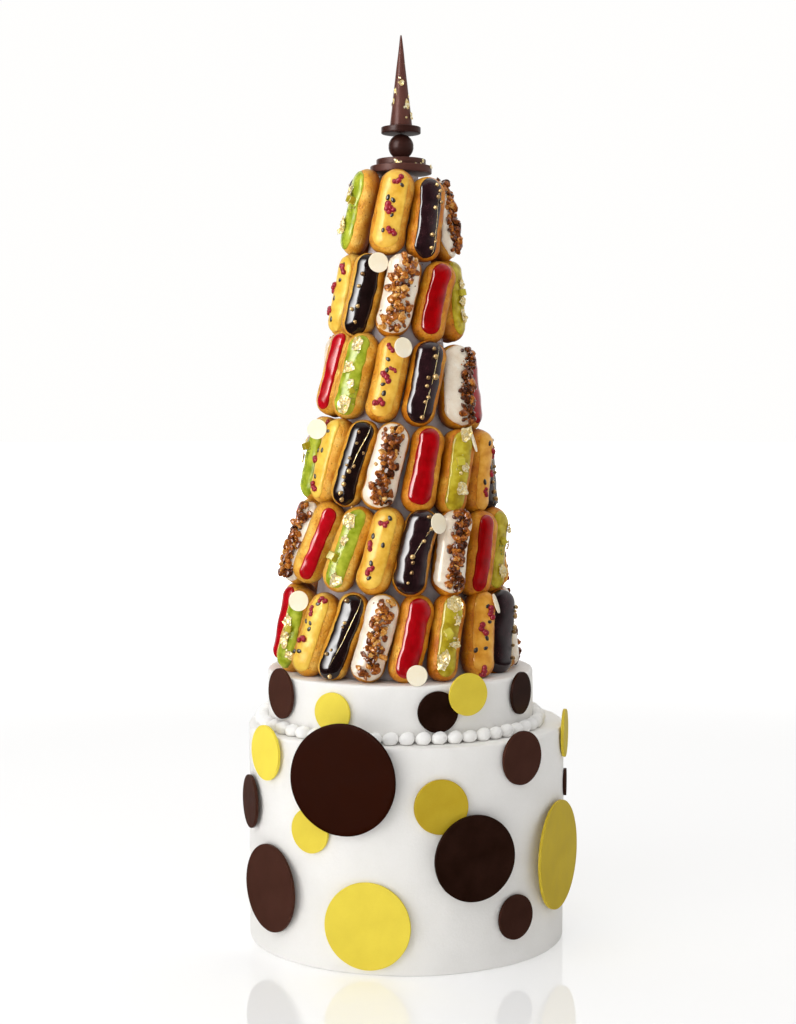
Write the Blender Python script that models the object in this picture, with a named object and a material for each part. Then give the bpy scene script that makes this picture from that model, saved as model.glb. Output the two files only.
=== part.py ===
# Eclair tower: six rings of small glazed eclairs leaning round a cone, topped by
# a turned chocolate finial, on a two-tier iced cake with flat round plaques.
# Metres, +Z up. The origin is the centre of the lower tier's underside, and the
# front of the tower faces -Y. Azimuth 0 is the front (-Y), positive towards +X.

import math

import bmesh
import bpy
from mathutils import Matrix, Vector
from mathutils.bvhtree import BVHTree

for ob in list(bpy.data.objects):
    bpy.data.objects.remove(ob, do_unlink=True)

# ------------------------------------------------------------------ dimensions
GAP = 0.0003                 # clearance between a piece and its neighbour

LOWER_R, LOWER_H = 0.1577, 0.2133
UPPER_R, UPPER_TOP = 0.1325, 0.2672
UPPER_X = -0.0060            # the upper tier sits a little left of the lower one
TIER_EDGE = 0.0026           # rounded icing edge
TIER_SIDES = 48

BEADS = 57                   # piped pearls at the foot of the upper tier
BEAD_W, BEAD_H, BEAD_WAIST = 0.0128, 0.0112, 0.70

TOWER_X = -0.0078            # axis of the cone
CONE_Z0, CONE_TOP = UPPER_TOP + GAP, 0.7545
CONE_R_REF, CONE_Z_REF, CONE_SLOPE = 0.0875, 0.3080, 0.1525
TILT = math.atan(CONE_SLOPE)

ECL_L = 0.0832               # eclair, tip to tip
ECL_OUT = 0.0152             # centre line to the top of the glaze
LEAN = math.radians(12.5)    # tops lean to the right, seen from outside
SECTION_SIDES = 7

# Each ring, from the bottom up: height of its middle, radius of the eclairs'
# centre lines, its own axis, sideways dip of the ring, width, and the azimuths.
# The front ones stand where they stand; the back ones share the rest evenly.
ROWS = {
    6: dict(z=0.3086, r=0.1035, x=-0.0100, dip=0.0000, w=0.0362, front=(-88, -68, -48, -30, -12, 7, 27, 49, 70), n=18),
    5: dict(z=0.3895, r=0.0925, x=-0.0080, dip=0.0035, w=0.0364, front=(-79, -57, -34, -12, 9, 33, 56, 78), n=16),
    4: dict(z=0.4695, r=0.0795, x=-0.0078, dip=0.0065, w=0.0352, front=(-77, -54, -32, -9, 17, 40, 66, 89), n=15),
    3: dict(z=0.5525, r=0.0635, x=-0.0078, dip=0.0070, w=0.0370, front=(-71, -41, -10, 22, 57, 88), n=11),
    2: dict(z=0.6335, r=0.0500, x=-0.0082, dip=0.0020, w=0.0362, front=(-78, -42, 0, 43, 81), n=9),
    1: dict(z=0.7155, r=0.0380, x=-0.0085, dip=0.0030, w=0.0372, front=(-71, -11, 44, 95), n=7),
}

# Finial: a turned stack of chocolate pieces.
FIN_X = -0.0055
DISC_LOW = (0.0305, 0.7580, 0.7650)      # radius, underside, top
DISC_MID = (0.0245, 0.7653, 0.7718)
BALL_R, BALL_Z = 0.01245, 0.7846
DISC_TOP = (0.0195, 0.7974, 0.8036)
SPIRE_R, SPIRE_Z0, SPIRE_Z1 = 0.0112, 0.8039, 0.8940

# Plaques: name, tier (1 lower, 2 upper), azimuth, height, radius, colour, and how
# far the dab of icing behind it holds it off the wall. The ones held off furthest
# lie over the edge of a neighbour.
PLAQUE_T = 0.0030
PLAQUES = (
    ("upper_a", 2, -59, 0.2505, 0.0245, "dark", 0.0006),
    ("upper_b", 2, -28.5, 0.2400, 0.0190, "yellow", 0.0),
    ("upper_c", 2, 15, 0.2425, 0.0196, "dark", 0.0),
    ("upper_d", 2, 27, 0.2582, 0.0201, "yellow", 0.0048),
    ("upper_e", 2, 60, 0.2506, 0.0206, "dark", 0.0),
    ("lower_f", 1, -57, 0.1962, 0.0265, "yellow", 0.0018),
    ("lower_g", 1, -71, 0.1416, 0.0261, "dark", 0.0024),
    ("lower_h", 1, -21.3, 0.1833, 0.0524, "dark", 0.0048),
    ("lower_i", 1, -34.6, 0.1308, 0.0212, "yellow", 0.0004),
    ("lower_j", 1, -54, 0.0666, 0.0421, "dark", 0.0024),
    ("lower_k", 1, -13.3, 0.0467, 0.0411, "yellow", 0.0),
    ("lower_l", 1, 11.3, 0.1587, 0.0257, "yellow", 0.0),
    ("lower_m", 1, 22.5, 0.1096, 0.0407, "dark", 0.0048),
    ("lower_n", 1, 42.8, 0.1968, 0.0256, "dark", 0.0),
    ("lower_o", 1, 40, 0.0462, 0.0214, "dark", 0.0),
    ("lower_p", 1, 79, 0.2051, 0.0237, "yellow", 0.0),
    ("lower_q", 1, 83, 0.1539, 0.0135, "dark", 0.0),
    ("lower_r", 1, 65.5, 0.0923, 0.0528, "yellow", 0.0024),
    # the side away from the camera carries the same scatter
    ("back_a", 2, 108, 0.2460, 0.0190, "yellow", 0.0),
    ("back_b", 2, 139, 0.2500, 0.0235, "dark", 0.0),
    ("back_c", 2, 173, 0.2460, 0.0195, "yellow", 0.0),
    ("back_d", 2, 213, 0.2500, 0.0210, "dark", 0.0),
    ("back_e", 2, 250, 0.2460, 0.0190, "yellow", 0.0),
    ("back_f", 1, 129, 0.1500, 0.0400, "dark", 0.0),
    ("back_g", 1, 113, 0.0700, 0.0250, "yellow", 0.0),
    ("back_h", 1, 156, 0.0850, 0.0480, "yellow", 0.0),
    ("back_i", 1, 112, 0.1890, 0.0180, "dark", 0.0),
    ("back_j", 1, 187, 0.0500, 0.0240, "dark", 0.0),
    ("back_k", 1, 196, 0.1600, 0.0500, "dark", 0.0),
    ("back_l", 1, 222, 0.0600, 0.0400, "yellow", 0.0),
    ("back_m", 1, 232, 0.1780, 0.0270, "yellow", 0.0),
    ("back_n", 1, 246, 0.1150, 0.0300, "dark", 0.0),
)

# Small ivory discs stuck on the eclairs: ring, azimuth and height of the disc's
# centre, azimuth its face looks to, and how far it looks up, in degrees.
IVORY_R, IVORY_T = 0.0098, 0.0014
IVORIES = (
    (6, -55.3, 0.3399, -12, 6), (6, 8.7, 0.2765, 4, 2), (6, 56.4, 0.3369, 80, 18),
    (5, 22, 0.4170, 45, 10), (4, -59.3, 0.5050, -14, 6), (4, 53.8, 0.4935, 82, 16),
    (3, 3.2, 0.5839, 33, 8), (2, -17.8, 0.6669, 14, 8),
    (6, 151, 0.3300, 151, 9), (5, 190.5, 0.3640, 186, 6), (4, 138, 0.4900, 142, 9), (3, 223, 0.5760, 220, 9),
)

# ------------------------------------------------------------------ materials
COLOURS = {
    "icing": ((0.90, 0.89, 0.88), 0.45),
    "cone": ((0.72, 0.67, 0.67), 0.60),
    "eclair": ((0.72, 0.42, 0.14), 0.45),
    "chocolate": ((0.075, 0.028, 0.020), 0.35),
    "plaque_dark": ((0.055, 0.020, 0.014), 0.38),
    "plaque_yellow": ((0.86, 0.72, 0.05), 0.42),
    "ivory": ((0.86, 0.80, 0.66), 0.45),
}
MATS = {}


def material(name):
    if name not in MATS:
        colour, rough = COLOURS[name]
        mat = bpy.data.materials.new(name)
        mat.use_nodes = True
        bsdf = mat.node_tree.nodes["Principled BSDF"]
        bsdf.inputs["Base Color"].default_value = (*colour, 1.0)
        bsdf.inputs["Roughness"].default_value = rough
        bsdf.inputs["Metallic"].default_value = 0.0
        MATS[name] = mat
    return MATS[name]


# ------------------------------------------------------------------ helpers
def add_object(name, bm, mat, sharp=40):
    mesh = bpy.data.meshes.new(name)
    bmesh.ops.recalc_face_normals(bm, faces=bm.faces)
    bm.to_mesh(mesh)
    bm.free()
    mesh.materials.append(material(mat))
    mesh.shade_smooth()
    mesh.set_sharp_from_angle(angle=math.radians(sharp))
    ob = bpy.data.objects.new(name, mesh)
    bpy.context.scene.collection.objects.link(ob)
    return ob


def turned(profile, sides, phase=0.0):
    """Closed body turned about Z from (radius, height) pairs, bottom to top."""
    bm = bmesh.new()
    rings = []
    for r, z in profile:
        if r < 1e-6:
            rings.append([bm.verts.new((0, 0, z))])
        else:
            rings.append([bm.verts.new((r * math.cos(phase + 2 * math.pi * i / sides),
                                        r * math.sin(phase + 2 * math.pi * i / sides), z))
                          for i in range(sides)])
    for a, b in zip(rings, rings[1:]):
        for i in range(sides):
            j = (i + 1) % sides
            if len(a) == 1:
                bm.faces.new((a[0], b[j], b[i]))
            elif len(b) == 1:
                bm.faces.new((a[i], a[j], b[0]))
            else:
                bm.faces.new((a[i], a[j], b[j], b[i]))
    if len(rings[0]) > 1:
        bm.faces.new(list(reversed(rings[0])))
    if len(rings[-1]) > 1:
        bm.faces.new(rings[-1])
    return bm


def outward(az):
    a = math.radians(az)
    return Vector((math.sin(a), -math.cos(a), 0.0))


# ------------------------------------------------------------------ cake tiers
def tier(name, radius, z0, z1, x):
    e = TIER_EDGE
    profile = [(radius, z0), (radius, z1 - e), (radius - 0.3 * e, z1 - 0.3 * e), (radius - e, z1)]
    ob = add_object(name, turned(profile, TIER_SIDES), "icing", 50)
    ob.location.x = x
    return ob


tier("lower_tier", LOWER_R, 0.0, LOWER_H, 0.0)
tier("upper_tier", UPPER_R, LOWER_H + GAP, UPPER_TOP, UPPER_X)


def plaque_place(level, az, z, off):
    """Matrix of a plaque whose back face touches the wall of its tier."""
    wall, x = (LOWER_R, 0.0) if level == 1 else (UPPER_R, UPPER_X)
    back = wall + GAP + off
    return (Matrix.Translation(outward(az) * back + Vector((x, 0, z)))
            @ Matrix.Rotation(math.radians(az), 4, "Z") @ Matrix.Rotation(math.radians(90), 4, "X"))


def bead_border():
    """Ring of touching pearls, drawn as one rope that swells at every pearl."""
    bm = bmesh.new()
    rings = []
    z0 = LOWER_H + GAP
    inner = UPPER_R + 2 * GAP
    for i in range(2 * BEADS):
        a = 2 * math.pi * i / (2 * BEADS)
        k = 1.0 if i % 2 else BEAD_WAIST
        w, h = BEAD_W * k, BEAD_H * k
        section = [(0.0, 0.0), (w, h * 0.05), (w * 0.72, h), (0.0, h * 0.85)]
        rings.append([bm.verts.new(((inner + r) * math.sin(a), -(inner + r) * math.cos(a), z0 + z))
                      for r, z in section])
    n = len(rings[0])
    for i in range(len(rings)):
        a, b = rings[i], rings[(i + 1) % len(rings)]
        for j in range(n):
            k = (j + 1) % n
            bm.faces.new((a[j], b[j], b[k], a[k]))
    ob = add_object("bead_border", bm, "icing", 50)
    ob.location.x = UPPER_X
    # the pearls are piped in front of the plaques that reach down to them
    for name, level, az, z, radius, colour, off in PLAQUES:
        if level == 2 and z - radius < z0 + BEAD_H + GAP:
            cutter = add_object("seat_" + name, turned([(radius + GAP, -GAP), (radius + GAP, PLAQUE_T + GAP)], 20),
                                "icing")
            cutter.matrix_world = plaque_place(level, az, z, off)
            cutter.hide_render = True
            cutter.display_type = "WIRE"
            mod = ob.modifiers.new("seat_" + name, "BOOLEAN")
            mod.operation = "DIFFERENCE"
            mod.object = cutter
            mod.solver = "EXACT"


bead_border()


# ------------------------------------------------------------------ cone
def cone_radius(z):
    return CONE_R_REF - CONE_SLOPE * (z - CONE_Z_REF)


cone = add_object("cone", turned([(cone_radius(CONE_Z0), CONE_Z0), (cone_radius(CONE_TOP), CONE_TOP)], 32),
                  "cone")
cone.location.x = TOWER_X


# ------------------------------------------------------------------ eclairs
def azimuths(row):
    """The front azimuths, then the rest of the ring shared out evenly."""
    front = list(row["front"])
    back = row["n"] - len(front)
    span = front[0] + 360 - front[-1]
    return front + [front[-1] + span * (i + 1) / (back + 1) for i in range(back)]


def row_height(row, az):
    return row["z"] - row["dip"] * math.sin(math.radians(az))


def eclair_frame(row, az):
    """Matrix whose X runs across, Y along to the top, and Z outwards."""
    a = math.radians(az)
    out = Vector((math.sin(a) * math.cos(TILT), -math.cos(a) * math.cos(TILT), math.sin(TILT)))
    up = Vector((-math.sin(a) * math.sin(TILT), math.cos(a) * math.sin(TILT), math.cos(TILT)))
    side = Vector((math.cos(a), math.sin(a), 0.0))
    along = up * math.cos(LEAN) + side * math.sin(LEAN)
    across = side * math.cos(LEAN) - up * math.sin(LEAN)
    height = row_height(row, az)
    radius = row["r"] - CONE_SLOPE * (height - row["z"])
    centre = outward(az) * radius + Vector((row["x"], 0, height))
    m = Matrix((across, along, out)).transposed().to_4x4()
    m.translation = centre
    return m


def eclair_body(row, grow=0.0):
    """Rounded finger with a fuller outer side and a flatter back."""
    half_l = ECL_L / 2 + grow
    half_w = row["w"] / 2 + grow
    out = ECL_OUT + grow
    back = (row["r"] - cone_radius(row["z"]) - abs(row["x"] - TOWER_X)) * math.cos(TILT) - 1.5 * GAP + grow
    straight = half_l - half_w
    stations = [(-1, 1), (-1, 0.0), (1, 0.0), (1, 1)]
    bm = bmesh.new()
    rings = []
    for sign, end in stations:
        phi = math.radians(50) * end
        y = sign * (straight + half_w * math.sin(phi))
        k = math.cos(phi) ** 0.85
        ring = []
        for i in range(SECTION_SIDES):
            t = 2 * math.pi * (i + 0.5) / SECTION_SIDES - math.pi / 2
            c, s = math.cos(t), math.sin(t)
            x = half_w * k * c / math.cos(math.pi / SECTION_SIDES)
            z = out * k * s if s > 0 else back * k * s / math.cos(math.pi / SECTION_SIDES)
            ring.append(bm.verts.new((x, y, z)))
        rings.append(ring)
    for a, b in zip(rings, rings[1:]):
        for i in range(SECTION_SIDES):
            j = (i + 1) % SECTION_SIDES
            bm.faces.new((a[i], b[i], b[j], a[j]))
    for sign, ring in ((-1, rings[0]), (1, rings[-1])):
        tip = bm.verts.new((0, sign * half_l, 0))
        for i in range(SECTION_SIDES):
            bm.faces.new((ring[i], ring[(i + 1) % SECTION_SIDES], tip))
    bmesh.ops.recalc_face_normals(bm, faces=bm.faces)
    mesh = bpy.data.meshes.new("eclair_body")
    bm.to_mesh(mesh)
    bm.free()
    mesh.materials.append(material("eclair"))
    return mesh


def joined(name, row, grow=0.0):
    """The ring's eclairs pressed into one another, united into one solid."""
    mesh = eclair_body(row, grow)
    group = bpy.data.collections.new(name + "_set")
    bpy.context.scene.collection.children.link(group)
    parts = []
    for az in azimuths(row):
        ob = bpy.data.objects.new(name + "_part", mesh)
        ob.matrix_world = eclair_frame(row, az)
        parts.append(ob)
    base = parts[0]
    bpy.context.scene.collection.objects.link(base)
    for ob in parts[1:]:
        group.objects.link(ob)
    mod = base.modifiers.new("union", "BOOLEAN")
    mod.operation = "UNION"
    mod.operand_type = "COLLECTION"
    mod.collection = group
    mod.solver = "EXACT"
    result = settled(base, name)
    for ob in parts[1:]:
        bpy.data.objects.remove(ob, do_unlink=True)
    bpy.data.collections.remove(group)
    return result


def settled(base, name):
    """Replace an object and its modifiers with the shape they make."""
    bpy.context.view_layer.update()
    graph = bpy.context.evaluated_depsgraph_get()
    mesh = bpy.data.meshes.new_from_object(base.evaluated_get(graph))
    mesh.transform(base.matrix_world)
    mesh.name = name
    bpy.data.objects.remove(base, do_unlink=True)
    bm = bmesh.new()
    bm.from_mesh(mesh)
    bmesh.ops.remove_doubles(bm, verts=bm.verts, dist=0.00002)
    bmesh.ops.dissolve_degenerate(bm, edges=bm.edges, dist=0.00002)
    bm.to_mesh(mesh)
    bm.free()
    ob = bpy.data.objects.new(name, mesh)
    bpy.context.scene.collection.objects.link(ob)
    mesh.materials.clear()
    mesh.materials.append(material("eclair"))
    mesh.shade_smooth()
    mesh.set_sharp_from_angle(angle=math.radians(35))
    return ob


for number in (6, 5, 4, 3, 2, 1):
    ring = joined("eclair_row_%d" % number, ROWS[number])
    if number < 6:
        # the upper ring's tips are dented where they press on the ring below
        below = joined("below", ROWS[number + 1], grow=0.0004)
        cut = ring.modifiers.new("seat", "BOOLEAN")
        cut.operation = "DIFFERENCE"
        cut.object = below
        cut.solver = "EXACT"
        settled(ring, "eclair_row_%d" % number)
        bpy.data.objects.remove(below, do_unlink=True)


# ------------------------------------------------------------------ finial
def fin(name, profile, sides, mat="chocolate"):
    ob = add_object(name, turned(profile, sides), mat, 35)
    ob.location.x = FIN_X
    return ob


def disc_profile(radius, z0, z1, e=0.0006):
    return [(radius, z0), (radius, z1 - e), (radius - e, z1)]


fin("finial_disc_low", disc_profile(*DISC_LOW), 24)
fin("finial_disc_mid", disc_profile(*DISC_MID), 20)
fin("finial_ball", [(BALL_R * math.cos(math.radians(d)) if abs(d) < 89 else 0.0,
                     BALL_Z + BALL_R * math.sin(math.radians(d))) for d in (-90, -60, -30, 0, 30, 60, 90)], 14)
fin("finial_disc_top", disc_profile(*DISC_TOP), 18)
fin("finial_spire", [(SPIRE_R, SPIRE_Z0), (0.0006, SPIRE_Z1 - 0.0006), (0.0, SPIRE_Z1)], 16)


# ------------------------------------------------------------------ plaques
for name, level, az, z, radius, colour, off in PLAQUES:
    bm = turned([(radius, 0.0), (radius, PLAQUE_T)], 24 if radius > 0.035 else 14)
    ob = add_object("plaque_" + name, bm, "plaque_" + colour)
    ob.matrix_world = plaque_place(level, az, z, off)

# ------------------------------------------------------------------ ivory discs
def tree_of(obs, place=None):
    verts, faces = [], []
    for ob in obs:
        base = len(verts)
        m = place or ob.matrix_world
        verts += [m @ v.co for v in ob.data.vertices]
        faces += [[base + k for k in p.vertices] for p in ob.data.polygons]
    return BVHTree.FromPolygons(verts, faces)


bpy.context.view_layer.update()
carriers = tree_of([ob for ob in bpy.data.objects if ob.name.startswith(("eclair_row", "upper_tier"))])
STEP = 0.0001
for index, (number, az, height, face, up) in enumerate(IVORIES):
    row = ROWS[number]
    radius = row["r"] - CONE_SLOPE * (height - row["z"]) + ECL_OUT
    spot = outward(az) * radius + Vector((row["x"], 0, height))
    turn = Matrix.Rotation(math.radians(face), 4, "Z") @ Matrix.Rotation(math.radians(90 - up), 4, "X")
    normal = turn.to_3x3() @ Vector((0, 0, 1))
    ob = add_object("ivory_disc_%d" % (index + 1), turned([(IVORY_R, 0.0), (IVORY_R, IVORY_T)], 12), "ivory")
    # pushed on from outside until it meets the eclairs
    reach = 0.030
    while reach > -0.012:
        if tree_of([ob], Matrix.Translation(spot + normal * (reach - STEP)) @ turn).overlap(carriers):
            break
        reach -= STEP
    ob.matrix_world = Matrix.Translation(spot + normal * (reach + GAP)) @ turn
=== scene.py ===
"""Looks of the eclair tower: six rings of glazed eclairs on a cone, a chocolate
finial, and a two-tier iced cake with flat round chocolate plaques.

Metres, +Z up, front towards -Y. Azimuth 0 is the front, positive towards +X.
"""
import math
import random

import bmesh
import bpy
import numpy as np
from mathutils import Matrix, Vector


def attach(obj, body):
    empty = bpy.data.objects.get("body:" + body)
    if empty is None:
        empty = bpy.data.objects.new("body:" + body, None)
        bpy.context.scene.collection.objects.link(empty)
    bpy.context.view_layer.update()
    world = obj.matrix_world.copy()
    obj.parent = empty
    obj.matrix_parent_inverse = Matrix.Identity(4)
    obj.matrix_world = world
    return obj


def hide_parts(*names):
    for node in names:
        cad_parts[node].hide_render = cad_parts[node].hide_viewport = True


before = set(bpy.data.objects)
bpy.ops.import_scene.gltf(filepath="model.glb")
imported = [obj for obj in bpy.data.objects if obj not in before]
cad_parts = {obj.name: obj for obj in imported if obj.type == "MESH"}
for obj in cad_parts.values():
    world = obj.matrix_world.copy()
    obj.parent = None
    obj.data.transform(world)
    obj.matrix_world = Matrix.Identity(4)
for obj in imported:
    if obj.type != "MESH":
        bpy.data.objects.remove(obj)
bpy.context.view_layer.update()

# ------------------------------------------------------------------ dimensions
GAP = 0.0003
LOWER_R, LOWER_H = 0.1577, 0.2133
UPPER_R, UPPER_TOP = 0.1325, 0.2672
UPPER_X = -0.0060
BEADS = 57
BEAD_W, BEAD_H = 0.0136, 0.0114
TOWER_X = -0.0078
CONE_Z0, CONE_TOP = UPPER_TOP + GAP, 0.7545
CONE_R_REF, CONE_Z_REF, CONE_SLOPE = 0.0875, 0.3080, 0.1525
TILT = math.atan(CONE_SLOPE)
ECL_L = 0.0862
ECL_OUT = 0.0152
LEAN = 12.5

ROWS = {
    6: dict(z=0.3080, r=0.1035, x=-0.0100, dip=0.0000, w=0.0362, front=(-88, -68, -48, -30, -12, 7, 27, 49, 70), n=18),
    5: dict(z=0.3895, r=0.0925, x=-0.0080, dip=0.0035, w=0.0364, front=(-79, -57, -34, -12, 9, 33, 56, 78), n=16),
    4: dict(z=0.4695, r=0.0795, x=-0.0078, dip=0.0065, w=0.0352, front=(-77, -54, -32, -9, 17, 40, 66, 89), n=15),
    3: dict(z=0.5525, r=0.0635, x=-0.0078, dip=0.0070, w=0.0370, front=(-71, -41, -10, 22, 57, 88), n=11),
    2: dict(z=0.6345, r=0.0500, x=-0.0082, dip=0.0020, w=0.0362, front=(-78, -42, 0, 43, 81), n=9),
    1: dict(z=0.7155, r=0.0380, x=-0.0085, dip=0.0030, w=0.0372, front=(-71, -11, 44, 95), n=7),
}
# Flavour of each eclair, in the order of its ring: R red, G green, Y passion
# fruit, K dark chocolate, N praline with nuts.
FLAVOURS = {
    6: "RGYKNRGYK" "NRGYKNRGY",
    5: "NRGYKNRG" "YKNRGYKR",
    4: "GYKNRGYK" "NRGYKNR",
    3: "RGYKNR" "GYKRN",
    2: "YKNRG" "YKNR",
    1: "GYKN" "RYK",
}
# The eclairs that face the camera, in the order of their ring: azimuth, lean of
# the top, roll of the glazed face about the eclair's own length, pitch of the top
# towards the cone, how far the glaze reaches round each side, all in degrees, and
# lift in mm. Where one differs from the habit of its kind, the reach of its glaze
# at the top and the low end follows, and then its half width in mm.
FRONT = {
    6: ((-88, 13, 36, 2, 33, 3), (-68, 15, 30, 0, 33, 0), (-48, 18.5, 20, 0, 33, 0), (-29, 18.5, 17, 0, 43, 0, (64, 58), 15.4),
        (-11, 14, 6, 0, 66, 0), (7.5, 14, 4, 0, 39, 0, (47, 43)), (27, 12.5, -10, 0, 37, 0, (46, 44), 15.6),
        (50, 11.5, -22, -2, 41, 0), (72, 12, -42, -9, 60, -2)),
    5: ((-79, 12, 20, 8, 66, 0), (-57, 21, 52, 4, 24, 3), (-31, 16.5, 16, 2, 34, 0, (50, 47), 16.0), (-10.5, 13.5, -3, 0, 39, 0),
        (10.2, 14, -13, 0, 57, 0, (62, 58)), (33, 13.5, -20, 0, 64, 0), (56, 14, -31, -8, 27, -2, (42, 40)),
        (78, 12, -30, -11, 36, 0, (42, 44))),
    4: ((-77, 12, 20, 0, 40, 0), (-54, 13, 5, 0, 33, 0), (-32, 14, 20, 0, 43, 0, None, 15.8), (-9, 13.5, 10, 0, 66, 0),
        (17, 13, -11, 0, 39, 0, (46, 35)), (42, 16, -20, -4, 36, -1, (50, 46)), (68, 12, -14, -9, 38, 0), (89, 12, -30, -4, 55, 0)),
    3: ((-71, 12, 31, 2, 25, 1.5, (52, 37)), (-41, 11, 20, 0, 37, 0, (50, 47)), (-9.5, 10.5, 8, 0, 41, 0, None, 16.2),
        (22, 15, -14, 0, 49, 0, (58, 60)), (57, 13, -20, 0, 66, 0), (88, 12, -32, -3, 39, 0)),
    2: ((-78, 13, 20, 0, 46, 0), (-42, 9.5, 33, 0, 41, 0), (0, 12, 0, 0, 66, 0), (43, 19, -30, -6, 33, -4), (81, 13, -28, -3, 33, 0)),
    1: ((-71, 15, 8, 0, 38, 0), (-9, 9.5, 2, 0, 46, 0), (44, 14, -27, -2, 38, -3.5, (52, 64)), (95, 13, -20, 0, 66, 0)),
}
HALF_WIDTH = {6: 0.0165, 5: 0.0165, 4: 0.0162, 3: 0.0168, 2: 0.0168, 1: 0.0172}

FIN_X = -0.0055
DISC_LOW = (0.0305, 0.7580, 0.7650)
DISC_MID = (0.0245, 0.7653, 0.7718)
BALL_R, BALL_Z = 0.01245, 0.7846
DISC_TOP = (0.0195, 0.7974, 0.8036)
SPIRE_R, SPIRE_Z0, SPIRE_Z1 = 0.0112, 0.8039, 0.8940

PLAQUE_T = 0.0030
PLAQUES = (
    ("upper_a", 2, -59, 0.2505, 0.0245, "dark", 0.0006),
    ("upper_b", 2, -28.5, 0.2400, 0.0190, "yellow", 0.0),
    ("upper_c", 2, 15, 0.2425, 0.0196, "dark", 0.0),
    ("upper_d", 2, 27, 0.2582, 0.0201, "yellow", 0.0048),
    ("upper_e", 2, 60, 0.2506, 0.0206, "dark", 0.0),
    ("lower_f", 1, -57, 0.1962, 0.0265, "yellow", 0.0018),
    ("lower_g", 1, -71, 0.1416, 0.0261, "dark", 0.0024),
    ("lower_h", 1, -21.3, 0.1833, 0.0524, "dark", 0.0048),
    ("lower_i", 1, -34.6, 0.1308, 0.0212, "yellow", 0.0004),
    ("lower_j", 1, -54, 0.0666, 0.0421, "dark", 0.0024),
    ("lower_k", 1, -13.3, 0.0467, 0.0411, "yellow", 0.0),
    ("lower_l", 1, 11.3, 0.1587, 0.0257, "yellow", 0.0),
    ("lower_m", 1, 22.5, 0.1096, 0.0407, "dark", 0.0048),
    ("lower_n", 1, 42.8, 0.1968, 0.0256, "dark", 0.0),
    ("lower_o", 1, 40, 0.0462, 0.0214, "dark", 0.0),
    ("lower_p", 1, 79, 0.2051, 0.0237, "yellow", 0.0),
    ("lower_q", 1, 83, 0.1539, 0.0135, "dark", 0.0),
    ("lower_r", 1, 65.5, 0.0923, 0.0528, "yellow", 0.0024),
    ("back_a", 2, 108, 0.2460, 0.0190, "yellow", 0.0),
    ("back_b", 2, 139, 0.2500, 0.0235, "dark", 0.0),
    ("back_c", 2, 173, 0.2460, 0.0195, "yellow", 0.0),
    ("back_d", 2, 213, 0.2500, 0.0210, "dark", 0.0),
    ("back_e", 2, 250, 0.2460, 0.0190, "yellow", 0.0),
    ("back_f", 1, 129, 0.1500, 0.0400, "dark", 0.0),
    ("back_g", 1, 113, 0.0700, 0.0250, "yellow", 0.0),
    ("back_h", 1, 156, 0.0850, 0.0480, "yellow", 0.0),
    ("back_i", 1, 112, 0.1890, 0.0180, "dark", 0.0),
    ("back_j", 1, 187, 0.0500, 0.0240, "dark", 0.0),
    ("back_k", 1, 196, 0.1600, 0.0500, "dark", 0.0),
    ("back_l", 1, 222, 0.0600, 0.0400, "yellow", 0.0),
    ("back_m", 1, 232, 0.1780, 0.0270, "yellow", 0.0),
    ("back_n", 1, 246, 0.1150, 0.0300, "dark", 0.0),
)
IVORY_R, IVORY_T = 0.0098, 0.0014

# The camera, which also tells what each place in the photograph's frame shows.
CAMERA = Vector((-0.0085, -1.7744, 0.5218))
CAMERA_DROP, LENS, FRAME = 3.2032, 62.38, (796, 1024)

SLOTS = {"icing": "icing", "cone": "cone", "eclair": "eclair", "chocolate": "chocolate"}


# ------------------------------------------------------------------ small tools
def outward(az):
    a = math.radians(az)
    return Vector((math.sin(a), -math.cos(a), 0.0))


def in_frame(points):
    """Pixels of world points in the photograph's frame."""
    drop = math.radians(CAMERA_DROP)
    ahead = np.array([0, math.cos(drop), -math.sin(drop)])
    above = np.array([0, math.sin(drop), math.cos(drop)])
    d = np.asarray(points) - np.array(CAMERA)
    f = LENS / 36.0 * max(FRAME)
    deep = d @ ahead
    return np.stack([FRAME[0] / 2 + f * d[:, 0] / deep, FRAME[1] / 2 - f * (d @ above) / deep], 1)


def hashed(i, j, k, seed):
    """A repeatable number from -1 to 1 at each lattice point."""
    with np.errstate(over="ignore"):
        h = (i.astype(np.uint32) * np.uint32(0x9E3779B1)) ^ (j.astype(np.uint32) * np.uint32(0x85EBCA77)) \
            ^ (k.astype(np.uint32) * np.uint32(0xC2B2AE3D)) ^ np.uint32((seed * 0x27D4EB2F) & 0xFFFFFFFF)
        h ^= h >> np.uint32(15)
        h *= np.uint32(0x2C1B3C6D)
        h ^= h >> np.uint32(12)
        h *= np.uint32(0x297A2D39)
        h ^= h >> np.uint32(15)
    return h.astype(np.float64) / 2147483647.5 - 1.0


def lumps(p, size, seed=0):
    """Smooth random relief from -1 to 1 whose lumps are about `size` across."""
    q = np.asarray(p, float) / size
    i = np.floor(q).astype(np.int64)
    f = q - i
    f = f * f * f * (f * (f * 6 - 15) + 10)
    total = np.zeros(len(q))
    for a in (0, 1):
        for b in (0, 1):
            for c in (0, 1):
                w = (f[:, 0] if a else 1 - f[:, 0]) * (f[:, 1] if b else 1 - f[:, 1]) * (f[:, 2] if c else 1 - f[:, 2])
                total += w * hashed(i[:, 0] + a, i[:, 1] + b, i[:, 2] + c, seed)
    return total


def fractal(p, size, seed=0, octaves=3, gain=0.5):
    total, weight, whole = 0.0, 1.0, 0.0
    for k in range(octaves):
        total = total + weight * lumps(p, size / 2 ** k, seed + 17 * k)
        whole += weight
        weight *= gain
    return total / whole


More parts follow.
